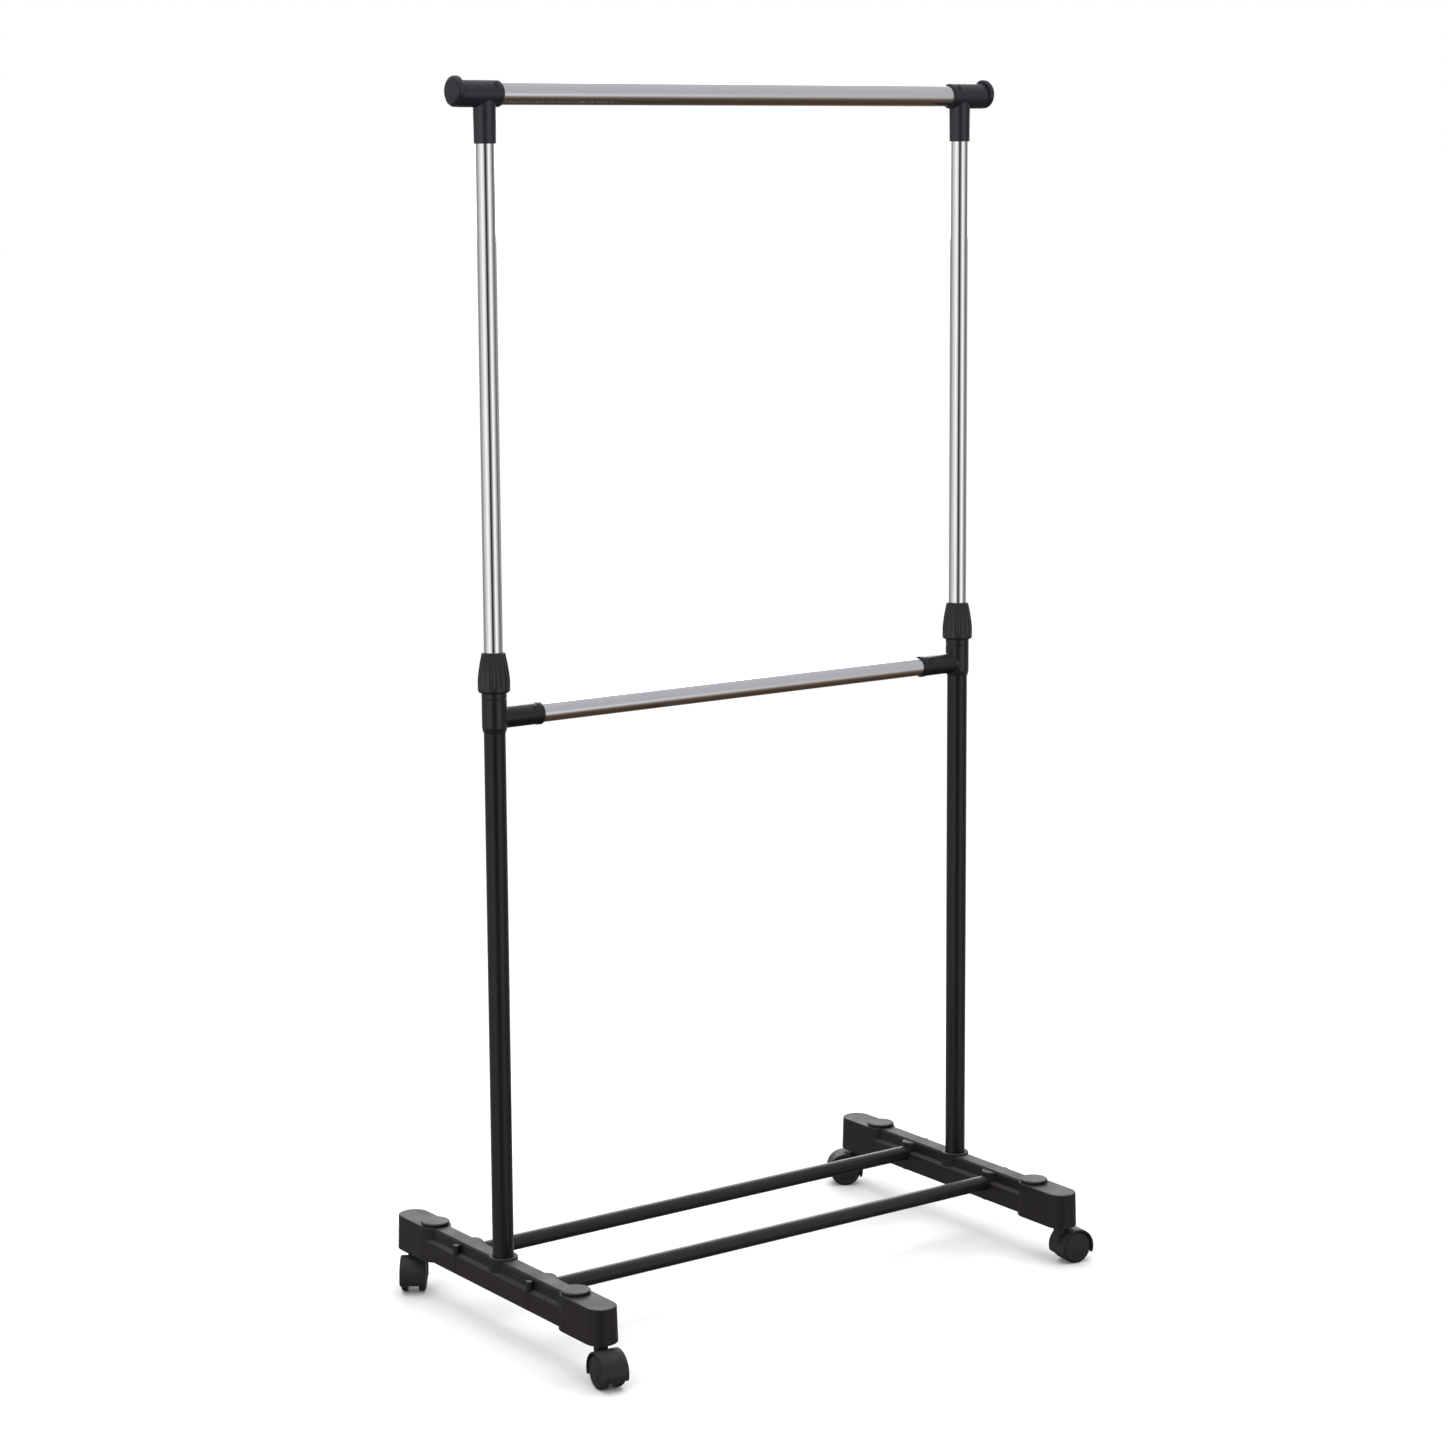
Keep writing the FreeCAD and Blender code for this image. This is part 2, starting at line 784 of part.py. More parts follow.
def make_lock_nut(side):
    """The tapered fluted nut that locks the upper post at its height."""
    body = new_body(f"lock_nut_{side}")
    corners = [
        ("nut_bore", "0"),
        ("nut_foot_radius", "0"),
        ("nut_radius", "1.6"),
        ("nut_radius", "14"),
        ("nut_radius - 0.6", "20"),
        ("nut_radius - 1.9", "28"),
        ("nut_top_radius + 1.4", "38"),
        ("nut_top_radius", "nut_height - 0.6"),
        ("nut_top_radius - 0.6", "nut_height"),
        ("slide_radius + free_gap", "nut_height"),
        ("slide_radius + free_gap", "ring_top + 0.4"),
        ("ring_pocket", "ring_top + 0.4"),
        ("ring_pocket", "collet_top + 0.6"),
        ("nut_bore", "collet_base + 2"),
    ]
    revolve(body, corners)
    slope = math.degrees(
        math.atan2(size("nut_radius - nut_top_radius"), size("nut_height - 15"))
    )
    flute = new_sketch(body, "XY_Plane", tilt=-slope)
    low_centre = f"(nut_radius + flute_radius - flute_depth) + 15 * tan({slope})"
    draw_circle(flute, "flute_radius", f"({low_centre}) * cos({slope})")
    first = pocket(body, flute, "1.3 * nut_height")
    polar_pattern(body, first, "flute_count")
    place(
        body,
        across=side_position(side),
        up="mid_rail_height + barrel_above + nut_lift",
        turn=side_turn(side),
    )
    return keep(body)


# ------------------------------------------------------------------ top tee and end caps


def make_top_tee(side):
    """The tee that joins the upper post to the hanging rail."""
    body = new_body(f"top_tee_{side}")
    stem = [
        ("0", "-stem_below"),
        ("stem_radius - 0.8", "-stem_below"),
        ("stem_radius", "0.8 - stem_below"),
        ("stem_radius + 0.5", "-head_radius"),
        ("stem_radius + 0.5", "0"),
        ("0", "0"),
    ]
    revolve(body, stem)
    head = [
        ("-head_outer", "0"),
        ("head_inner", "0"),
        ("head_inner", "head_radius - 2.4"),
        ("head_inner - 0.7", "head_radius - 0.8"),
        ("head_inner - 2.4", "head_radius"),
        ("-(head_outer - 0.5)", "head_radius"),
        ("-head_outer", "head_radius - 0.5"),
    ]
    revolve(body, head, axis="H_Axis")
    rail_bore = [
        ("-head_outer - 1", "0"),
        ("head_inner + 1", "0"),
        ("head_inner + 1", "top_rail_radius + slip_fit"),
        ("-head_outer - 1", "top_rail_radius + slip_fit"),
    ]
    revolve(body, rail_bore, axis="H_Axis", add=False)
    post_bore = [
        ("0", "-stem_below - 1"),
        ("slide_radius + slip_fit", "-stem_below - 1"),
        ("slide_radius + slip_fit", "-top_rail_radius - 1.3"),
        ("0", "-top_rail_radius - 1.3"),
    ]
    revolve(body, post_bore, add=False)
    place(body, across=side_position(side), up="top_rail_height", turn=side_turn(side))
    return keep(body)


def make_rail_end_cap(side):
    """The rounded disc that closes the hanging rail and stops hangers from sliding off."""
    body = new_body(f"rail_end_cap_{side}")
    near = "head_outer + 0.1"
    far = f"{near} + end_cap_thickness"
    disc = new_sketch(body, "YZ_Plane", lift=f"-({far})")
    draw_circle(disc, "end_cap_radius", "0", "end_cap_rise")
    pad(body, disc, "end_cap_thickness")
    outer_face = -size(far)
    inner_face = -size(near)

    def at_face(edge, plane):
        box = edge.BoundBox
        return abs(box.XMin - plane) < 0.01 and abs(box.XMax - plane) < 0.01

    round_edges(body, "end_cap_rounding", lambda edge: at_face(edge, outer_face))
    round_edges(body, "1.2", lambda edge: at_face(edge, inner_face))
    plug = new_sketch(body, "YZ_Plane", lift=f"-({near}) - 1")
    draw_circle(plug, "top_rail_radius - tube_wall - slip_fit")
    pad(body, plug, "end_cap_plug + 1")
    place(body, across=side_position(side), up="top_rail_height", turn=side_turn(side))
    return keep(body)


# ------------------------------------------------------------------ casters


def make_caster_hood(side, end):
    """The moulded caster body: a hood over both wheels, a web between them, and a boss."""
    body = new_body(f"caster_{side}_{end}_hood")
    disc = new_sketch(body, "XZ_Plane")
    draw_circle(disc, "hood_radius", "trail", "wheel_radius")
    pad(body, disc, "2 * hood_half_width", midplane=True)
    rim = size("hood_half_width")
    round_edges(body, "2.2", lambda edge: abs(abs(edge.BoundBox.YMin) - rim) < 0.01)
    boss = new_sketch(body, "XY_Plane", lift="hood_boss_bottom")
    draw_circle(boss, "hood_boss_radius")
    pad(body, boss, "hood_boss_top - hood_boss_bottom")
    for sign in (1, -1):
        well = new_sketch(body, "XZ_Plane", lift=f"{sign} * web_half_width")
        draw_circle(well, "wheel_radius + wheel_clearance", "trail", "wheel_radius")
        pocket(body, well, "2 * hood_half_width", reverse=sign > 0)
    below = new_sketch(body, "XZ_Plane")
    reach = "hood_radius + 2"
    draw_box(below, f"trail - ({reach})", f"trail + ({reach})", "-8", "hood_skirt")
    pocket(body, below, "3 * hood_half_width", midplane=True)
    axle_bore = new_sketch(body, "XZ_Plane")
    draw_circle(axle_bore, "axle_radius", "trail", "wheel_radius")
    pocket(body, axle_bore, "3 * hood_half_width", midplane=True)
    pin_bore = new_sketch(body, "XY_Plane", lift="stem_pin_bottom")
    draw_circle(pin_bore, "stem_pin_radius + slip_fit")
    pocket(body, pin_bore, "hood_boss_top")
    return body


def make_caster_stem(side, end):
    """The steel swivel pin, with a flange and a neck for the grip ring."""
    body = new_body(f"caster_{side}_{end}_stem")
    corners = [
        ("0", "stem_pin_bottom"),
        ("stem_pin_radius", "stem_pin_bottom"),
        ("stem_pin_radius", "hood_boss_top"),
        ("stem_flange_radius", "hood_boss_top"),
        ("stem_flange_radius", "stem_flange_top"),
        ("stem_pin_radius", "stem_flange_top"),
        ("stem_pin_radius", "neck_bottom"),
        ("neck_radius", "neck_bottom"),
        ("neck_radius", "neck_top"),
        ("stem_pin_radius", "neck_top"),
        ("stem_pin_radius", "stem_pin_top - 1.5"),
        ("stem_pin_radius - 1.5", "stem_pin_top"),
        ("0", "stem_pin_top"),
    ]
    revolve(body, corners)
    return body


def make_caster_axle(side, end):
    """The steel axle across the web."""
    body = new_body(f"caster_{side}_{end}_axle")
    rod = new_sketch(body, "XZ_Plane")
    draw_circle(rod, "axle_radius", "trail", "wheel_radius")
    pad(body, rod, "2 * axle_half_length", midplane=True)
    return body


def make_wheel(side, end, name, sign):
    """One wheel: rounded tread, domed face with a shallow dish, hub, blind bore for the axle."""
    body = new_body(f"caster_{side}_{end}_{name}_wheel")
    bore = "axle_radius + sliding_fit"
    inner = "wheel_inner"
    outer = "wheel_outer"
    corners = [
        ("0", outer),
        ("6", f"{outer} - 0.3"),
        ("6.6", f"{outer} - 1"),
        ("14.4", f"{outer} - 2.1"),
        ("15.1", f"{outer} - 1.6"),
        ("wheel_radius - 1.8", f"{outer} - 2.3"),
        ("wheel_radius - 0.6", f"{outer} - 3.1"),
        ("wheel_radius", f"{outer} - 4.4"),
        ("wheel_radius", f"{inner} + 1.4"),
        ("wheel_radius - 1.2", f"{inner} + 0.3"),
        ("5", f"{inner} + 0.3"),
        ("5", inner),
        (bore, inner),
        (bore, "axle_half_length + 0.4"),
        ("0", "axle_half_length + 0.4"),
    ]
    revolve(body, [(across, f"{sign} * ({along})") for across, along in corners])
    return body


def make_caster(side, end):
    """A twin-wheel caster, turned to its heading about the swivel axis."""
    heading = CASTER_HEADINGS[(side, end)]
    line = f"{ENDS[end]} * foot_end_offset"
    parts = [make_caster_hood(side, end), make_caster_stem(side, end), make_caster_axle(side, end)]
    for part in parts:
        place(part, across=side_position(side), along=line, turn=heading)
        keep(part)
    about_axle = FreeCAD.Rotation(FreeCAD.Vector(1, 0, 0), 90)
    turned = FreeCAD.Rotation(FreeCAD.Vector(0, 0, 1), heading) * about_axle
    for name, sign in (("outer", 1), ("inner", -1)):
        wheel = make_wheel(side, end, name, sign)
        reach_x = f"{side_position(side)} + trail * cos({heading})"
        reach_y = f"{line} + trail * sin({heading})"
        place(wheel, across=reach_x, along=reach_y, up="wheel_radius")
        wheel.Placement.Rotation = turned
        keep(wheel)


def foot_corners():
    """The four swivel axes as pairs of expressions."""
    return [
        (side_position(side), f"{sign} * foot_end_offset")
        for side in SIDES
        for sign in ENDS.values()
    ]


def make_caster_sleeves():
    """The sleeves in the feet that the caster stems turn in."""
    sleeves = []
    for number, (across, along) in enumerate(foot_corners(), start=1):
        body = new_body(f"sleeve_{number}")
        bore = "stem_pin_radius + sliding_fit"
        wide = "stem_pin_radius + 0.9"
        low = "foot_bottom - 0.2"
        corners = [
            (bore, low),
            ("sleeve_flange_radius", low),
            ("sleeve_flange_radius", "foot_bottom + sleeve_flange_height"),
            ("sleeve_radius", "foot_bottom + sleeve_flange_height"),
            ("sleeve_radius", "sleeve_top"),
            (bore, "sleeve_top"),
            (bore, "neck_top + 0.4"),
            (wide, "neck_top + 0.4"),
            (wide, "neck_bottom - 0.4"),
            (bore, "neck_bottom - 0.4"),
        ]
        revolve(body, corners)
        place(body, across=across, along=along)
        sleeves.append(body)
    return compound("caster_sleeves", sleeves)


def make_grip_rings():
    """The spring rings round the stems' necks, which keep the casters in their sleeves."""
    rings = []
    for number, (across, along) in enumerate(foot_corners(), start=1):
        body = new_body(f"grip_ring_{number}")
        revolve(
            body,
            ring_outline(
                "neck_radius + free_gap",
                "stem_pin_radius + 0.7",
                "neck_bottom + free_gap",
                "neck_top - free_gap",
            ),
        )
        split = new_sketch(body, "XY_Plane", lift="neck_bottom")
        draw_box(split, "0", "stem_pin_radius + 2", "-0.8", "0.8")
        pocket(body, split, "neck_top - neck_bottom")
        place(body, across=across, along=along)
        rings.append(body)
    return compound("caster_grip_rings", rings)


# ------------------------------------------------------------------ screws


def make_screw(label, length="screw_length"):
    """A pan-head screw along Z: head above the XY plane, shank below, cross recess on top."""
    body = new_body(label)
    corners = [
        ("0", f"-({length})"),
        ("screw_radius", f"2 - ({length})"),
        ("screw_radius", "0"),
        ("screw_head_radius", "0"),
        ("screw_head_radius", "screw_head_height - 1.1"),
        ("screw_head_radius - 1.1", "screw_head_height"),
        ("0", "screw_head_height"),
    ]
    revolve(body, corners)
    for across, along in (("2", "0.45"), ("0.45", "2")):
        recess = new_sketch(body, "XY_Plane", lift="screw_head_height - 1.1")
        draw_box(recess, f"-{across}", across, f"-{along}", along)
        pocket(body, recess, "2")
    return body


def make_bar_screws():
    """Four screws from below, through the pillars into the bars."""
    screws = []
    for side in SIDES:
        inward = -SIDES[side]
        across = f"{side_position(side)} + {inward} * pillar_offset"
        for end, sign in ENDS.items():
            screw = make_screw(f"bar_screw_{side}_{end}", "screw_length + 4")
            place(
                screw,
                across=across,
                along=f"{sign} * bar_offset",
                up="beam_bottom + screw_head_height + 1.8",
                turn=180,
                axis=(1, 0, 0),
            )
            screws.append(screw)
    return compound("bar_screws", screws)


SCREW_LEAN = 45.0
TEE_SCREWS = {
    "mid": ("branch_end - mid_screw_inset", "branch_radius", "mid_rail_height", "3"),
    "top": ("head_inner - top_screw_inset", "head_radius", "top_rail_height", "3.4"),
}


def make_tee_screws():
    """One screw through each tee's wall into its rail, leaning to the front on a flat seat."""
    lean = math.radians(SCREW_LEAN)
    for level, (inset, radius, height, length) in TEE_SCREWS.items():
        seat = f"({radius} - screw_seat_depth)"
        screws = []
        for side in SIDES:
            screw = make_screw(f"{level}_tee_screw_{side}", length)
            place(
                screw,
                across=f"{side_position(side)} - {SIDES[side]} * ({inset})",
                along=f"-{seat} * {math.sin(lean)}",
                up=f"{height} + {seat} * {math.cos(lean)}",
                turn=SCREW_LEAN,
                axis=(1, 0, 0),
            )
            screws.append(screw)
        compound(f"{level}_tee_screws", screws)


def leaning_sketch(body, lean, lift="0"):
    """A sketch whose normal leans from Z about the X axis, lifted along that normal."""
    sketch = new_sketch(body, "XY_Plane")
    turn = FreeCAD.Rotation(FreeCAD.Vector(1, 0, 0), lean)
    sketch.AttachmentOffset = FreeCAD.Placement(FreeCAD.Vector(), turn)
    angle = math.radians(lean)
    for name, share in (("y", -math.sin(angle)), ("z", math.cos(angle))):
        sketch.setExpression(f"AttachmentOffset.Base.{name}", bound(f"({lift}) * {share}"))
    return sketch


def drill_tees():
    """The screw holes through the tees, and the flat seats that the screws' heads rest on."""
    for tee in sub_parts:
        level = tee.Label.split("_tee_")[0]
        if level not in TEE_SCREWS or tee.TypeId != "PartDesign::Body":
            continue
        inset, radius, _, _ = TEE_SCREWS[level]
        lean = -SCREW_LEAN if tee.Label.endswith("right") else SCREW_LEAN
        hole = leaning_sketch(tee, lean)
        draw_circle(hole, "screw_radius + slip_fit", inset)
        pocket(tee, hole, f"2 * {radius}")
        seat = leaning_sketch(tee, lean, f"{radius} - screw_seat_depth")
        draw_circle(seat, "screw_head_radius + slip_fit", inset)
        pocket(tee, seat, "screw_head_height")
    doc.recompute()


def drill_rails():
    """Matching holes in the hanging rail and the middle rail."""
    for rail in sub_parts:
        level = rail.Label.split("_rail")[0]
        if rail.Label != f"{level}_rail" or level not in TEE_SCREWS:
            continue
        inset, radius, _, _ = TEE_SCREWS[level]
        for sign in SIDES.values():
            sketch = leaning_sketch(rail, SCREW_LEAN)
            draw_circle(
                sketch, "screw_radius + slip_fit", f"{sign} * (post_spacing / 2 - ({inset}))"
            )
            pocket(rail, sketch, f"2 * {radius}")


# ------------------------------------------------------------------ assembly


for side_name in SIDES:
    make_foot(side_name)
    make_lower_post(side_name)
    make_post_insert(side_name)
    make_post_bolt(side_name)
    make_mid_tee(side_name)
    make_clamp_ring(side_name)
    make_lock_nut(side_name)
    make_upper_post(side_name)
    make_guide_plug(side_name)
    make_top_tee(side_name)
    make_rail_end_cap(side_name)
    for end_name in ENDS:
        make_foot_cap(side_name, end_name)
        make_caster(side_name, end_name)
make_rails()
make_caster_sleeves()
make_grip_rings()
make_bar_screws()
make_tee_screws()
drill_tees()
drill_rails()

doc.recompute()
for item in doc.Objects:
    if "Invalid" in item.State or "Error" in item.State:
        raise RuntimeError(f"{item.Label} failed: {item.State}")
for item in sub_parts:
    if item.Shape.isNull() or not item.Shape.isValid():
        raise RuntimeError(f"{item.Label} has no valid shape")

os.makedirs("parts", exist_ok=True)
for item in sub_parts:
    item.Shape.exportStep(f"parts/{item.Label}.step")
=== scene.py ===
"""Rolling clothes rack: detailed surfaces, finishes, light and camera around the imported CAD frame.

Lengths are in metres, in the frame of the CAD model: +Z up, X along the rails, Y along the feet,
front at -Y. Shapes are drawn in millimetres where that reads better and scaled once by MM.
"""

import json
import logging
import math
from dataclasses import dataclass
from enum import Enum
from typing import Callable, Optional, Sequence

import bmesh
import bpy
import numpy as np
from mathutils import Matrix, Vector

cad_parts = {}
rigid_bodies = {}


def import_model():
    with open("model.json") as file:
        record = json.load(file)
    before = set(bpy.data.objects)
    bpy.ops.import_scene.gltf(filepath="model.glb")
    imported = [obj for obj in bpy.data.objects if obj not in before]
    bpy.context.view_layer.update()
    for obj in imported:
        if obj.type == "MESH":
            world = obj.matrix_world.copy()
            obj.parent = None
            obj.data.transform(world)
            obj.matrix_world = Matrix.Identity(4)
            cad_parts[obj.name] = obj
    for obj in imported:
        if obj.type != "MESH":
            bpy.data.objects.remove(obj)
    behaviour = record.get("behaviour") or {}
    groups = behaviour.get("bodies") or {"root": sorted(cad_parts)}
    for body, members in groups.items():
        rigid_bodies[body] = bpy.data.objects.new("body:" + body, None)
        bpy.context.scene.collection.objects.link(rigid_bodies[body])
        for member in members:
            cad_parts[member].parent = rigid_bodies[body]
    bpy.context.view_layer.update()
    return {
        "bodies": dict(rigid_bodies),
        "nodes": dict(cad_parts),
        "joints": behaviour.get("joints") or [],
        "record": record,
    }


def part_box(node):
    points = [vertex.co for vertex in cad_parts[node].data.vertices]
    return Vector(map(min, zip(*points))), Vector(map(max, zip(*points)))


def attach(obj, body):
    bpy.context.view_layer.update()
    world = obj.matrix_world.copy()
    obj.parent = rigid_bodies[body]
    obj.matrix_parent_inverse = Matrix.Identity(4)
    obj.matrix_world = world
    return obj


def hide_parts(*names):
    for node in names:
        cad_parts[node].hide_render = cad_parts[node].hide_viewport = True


log = logging.getLogger("clothes_rack")

MM = 0.001
FINE = 96
COARSE = 48


class Side(Enum):
    """The two ends of the rails, by the sign of X."""

    left = -1
    right = 1


class End(Enum):
    """The two ends of a foot, by the sign of Y."""

    front = -1
    rear = 1


class Slot(Enum):
    """The record's material slots."""

    foot = "foot_plastic"
    cap = "cap_plastic"
    fitting = "fitting_plastic"
    nut = "nut_plastic"
    top_fitting = "top_fitting_plastic"
    post = "post_paint"
    bar = "bar_paint"
    chrome = "chrome"
    nylon = "nylon"
    steel = "steel"
    screw = "screw_black"
    caster = "caster_plastic"
    wheel = "wheel_plastic"


# ------------------------------------------------------------------ dimensions


@dataclass(frozen=True)
class Foot:
    """Sizes of a foot, in millimetres, in the CAD model's terms."""

    top: float = 93.0
    bottom: float = 50.0
    beam_bottom: float = 54.0
    end_offset: float = 207.8
    end_radius: float = 20.3
    draft: float = 0.6
    wall: float = 2.8
    strip_half: float = 9.5
    recess_half: float = 11.5
    recess_top: float = 90.6
    recess_floor: float = 79.5
    ledge: float = 77.0
    skirt_half: float = 18.6
    socket_radius: float = 17.5
    socket_rim: float = 95.2
    bar_offset: float = 81.6
    pillar_radius: float = 12.6
    pillar_offset: float = 7.6
    pillar_top: float = 91.0
    rib_radius: float = 4.6
    rib_offset: float = 15.6
    rib_top: float = 89.5
    boss_radius: float = 10.5
    cap_offset: float = 156.8
    cap_radius: float = 17.5
    cap_neck: float = 14.0
    cap_gap: float = 1.4
    sleeve_radius: float = 4.6
    bolt_hole: float = 4.4
    bolt_recess: float = 10.0
    bolt_seat: float = 62.0
    socket_floor: float = 68.0


@dataclass(frozen=True)
class Caster:
    """Sizes of a twin-wheel caster, in millimetres."""

    wheel_radius: float = 20.3
    trail: float = 17.0
    hood_radius: float = 23.8
    hood_wall: float = 2.6
    hood_half_width: float = 16.2
    web_half_width: float = 6.0
    hood_skirt: float = 12.5
    boss_radius: float = 8.4
    boss_bottom: float = 27.0
    boss_top: float = 47.8
    wheel_inner: float = 6.6
    wheel_outer: float = 17.2
    wheel_gap: float = 0.9
    stem_radius: float = 4.0
    stem_bottom: float = 31.0
    stem_top: float = 80.0
    flange_radius: float = 7.2
    flange_top: float = 49.4
    groove_radius: float = 2.9
    groove_low: float = 71.6
    groove_high: float = 75.4
    hub_radius: float = 5.0
    axle_bore: float = 2.6
    axle_bore_end: float = 14.6


@dataclass(frozen=True)
class Tee:
    """Sizes of the middle and top tees and of the lock nut, in millimetres."""

    barrel: float = 14.7
    barrel_above: float = 31.0
    barrel_below: float = 16.0
    chamfer: float = 6.0
    branch: float = 12.5
    branch_end: float = 63.0
    branch_ring: float = 13.2
    ring_width: float = 6.0
    rail_stop: float = 26.0
    stop_hole: float = 4.0
    branch_root: float = 10.0
    neck: float = 14.2
    neck_straight: float = 17.0
    neck_end: float = 12.6
    neck_height: float = 25.0
    bore_end: float = 46.8
    throat: float = 48.0
    slip: float = 0.35
    stem: float = 12.9
    stem_swell: float = 0.45
    stem_root: float = -5.0
    stem_below: float = 56.0
    head: float = 15.3
    head_inner: float = 19.5
    head_outer: float = 35.6
    nut_lift: float = 0.5
    nut_height: float = 46.7
    nut_radius: float = 18.9
    nut_top: float = 13.6
    nut_foot_rim: float = 1.6
    nut_top_rim: float = 0.7
    nut_straight: float = 13.0
    nut_recess: float = 15.2
    nut_recess_height: float = 14.0
    flutes: int = 10
    flute_depth: float = 1.15
    cap_radius: float = 17.6
    cap_rise: float = 2.6
    cap_thickness: float = 9.6
    cap_gap: float = 0.1
    plug_radius: float = 11.4
    plug_length: float = 16.0


@dataclass(frozen=True)
class Rack:
    """Sizes that the whole rack shares, in millimetres."""

    post_spacing: float = 700.0
    top_rail: float = 1463.0
    mid_rail: float = 745.0
    post_radius: float = 12.7
    slide_radius: float = 11.0
    rail_radius: float = 12.7
    mid_radius: float = 11.0
    bar_radius: float = 9.5
    tube_wall: float = 1.2
    fit: float = 0.1


FOOT = Foot()
CASTER = Caster()
TEE = Tee()
RACK = Rack()
HEADINGS = {
    (Side.left, End.front): -97.0,
    (Side.left, End.rear): -126.0,
    (Side.right, End.front): -8.0,
    (Side.right, End.rear): 146.0,
}


# ------------------------------------------------------------------ outlines


def rounded(
    corners: Sequence[tuple[float, float, float]], closed: bool = True, steps: int = 5
) -> np.ndarray:
    """Rounds the corners of an outline.

    Each corner with a radius becomes a circular arc tangent to both of its edges: the arc starts
    at distance radius / tan(half the corner's angle) before the corner and ends as far after it.

    Args:
        corners: x, y and radius of each corner, in order.
        closed: whether the outline returns to its first corner.
        steps: segments in each arc.

    Returns:
        The outline's points, one row each.
    """
    count = len(corners)
    pieces = []
    for index, (x, y, radius) in enumerate(corners):
        here = np.array([x, y])
        inner = closed or 0 < index < count - 1
        if radius <= 0 or not inner:
            pieces.append(here[None])
            continue
        before = np.array(corners[(index - 1) % count][:2]) - here
        after = np.array(corners[(index + 1) % count][:2]) - here
        before_length, after_length = np.linalg.norm(before), np.linalg.norm(after)
        before, after = before / before_length, after / after_length
        half = math.acos(float(np.clip(before @ after, -1, 1))) / 2
        reach = min(radius / math.tan(half), 0.49 * before_length, 0.49 * after_length)
        bisector = (before + after) / np.linalg.norm(before + after)
        radius = reach * math.tan(half)
        centre = here + bisector * radius / math.sin(half)
        start, end = here + before * reach - centre, here + after * reach - centre
        angle_start = math.atan2(start[1], start[0])
        sweep = math.atan2(end[1], end[0]) - angle_start
        sweep = (sweep + math.pi) % (2 * math.pi) - math.pi
        angles = angle_start + sweep * np.linspace(0, 1, steps + 1)
        pieces.append(centre + radius * np.stack([np.cos(angles), np.sin(angles)], axis=1))
    return np.concatenate(pieces)


def slot_outline(near: float, far: float, radius: float, steps: int = 24) -> np.ndarray:
    """A round-ended slot along the second axis, counterclockwise.

    Args:
        near: the lower centre.
        far: the upper centre.
        radius: the radius of both ends.
        steps: segments in each half circle.

    Returns:
        The outline's points, one row each.
    """
    over = np.linspace(0, math.pi, steps + 1)
    under = over + math.pi
    top = np.stack([radius * np.cos(over), far + radius * np.sin(over)], axis=1)
    bottom = np.stack([radius * np.cos(under), near + radius * np.sin(under)], axis=1)
    return np.concatenate([top, bottom])


# ------------------------------------------------------------------ surfaces


class Axis(Enum):
    """The direction of a turned shape's axis, with the two directions across it."""

    x = ((0, 1, 0), (0, 0, 1), (1, 0, 0))
    y = ((0, 0, 1), (1, 0, 0), (0, 1, 0))
    z = ((1, 0, 0), (0, 1, 0), (0, 0, 1))


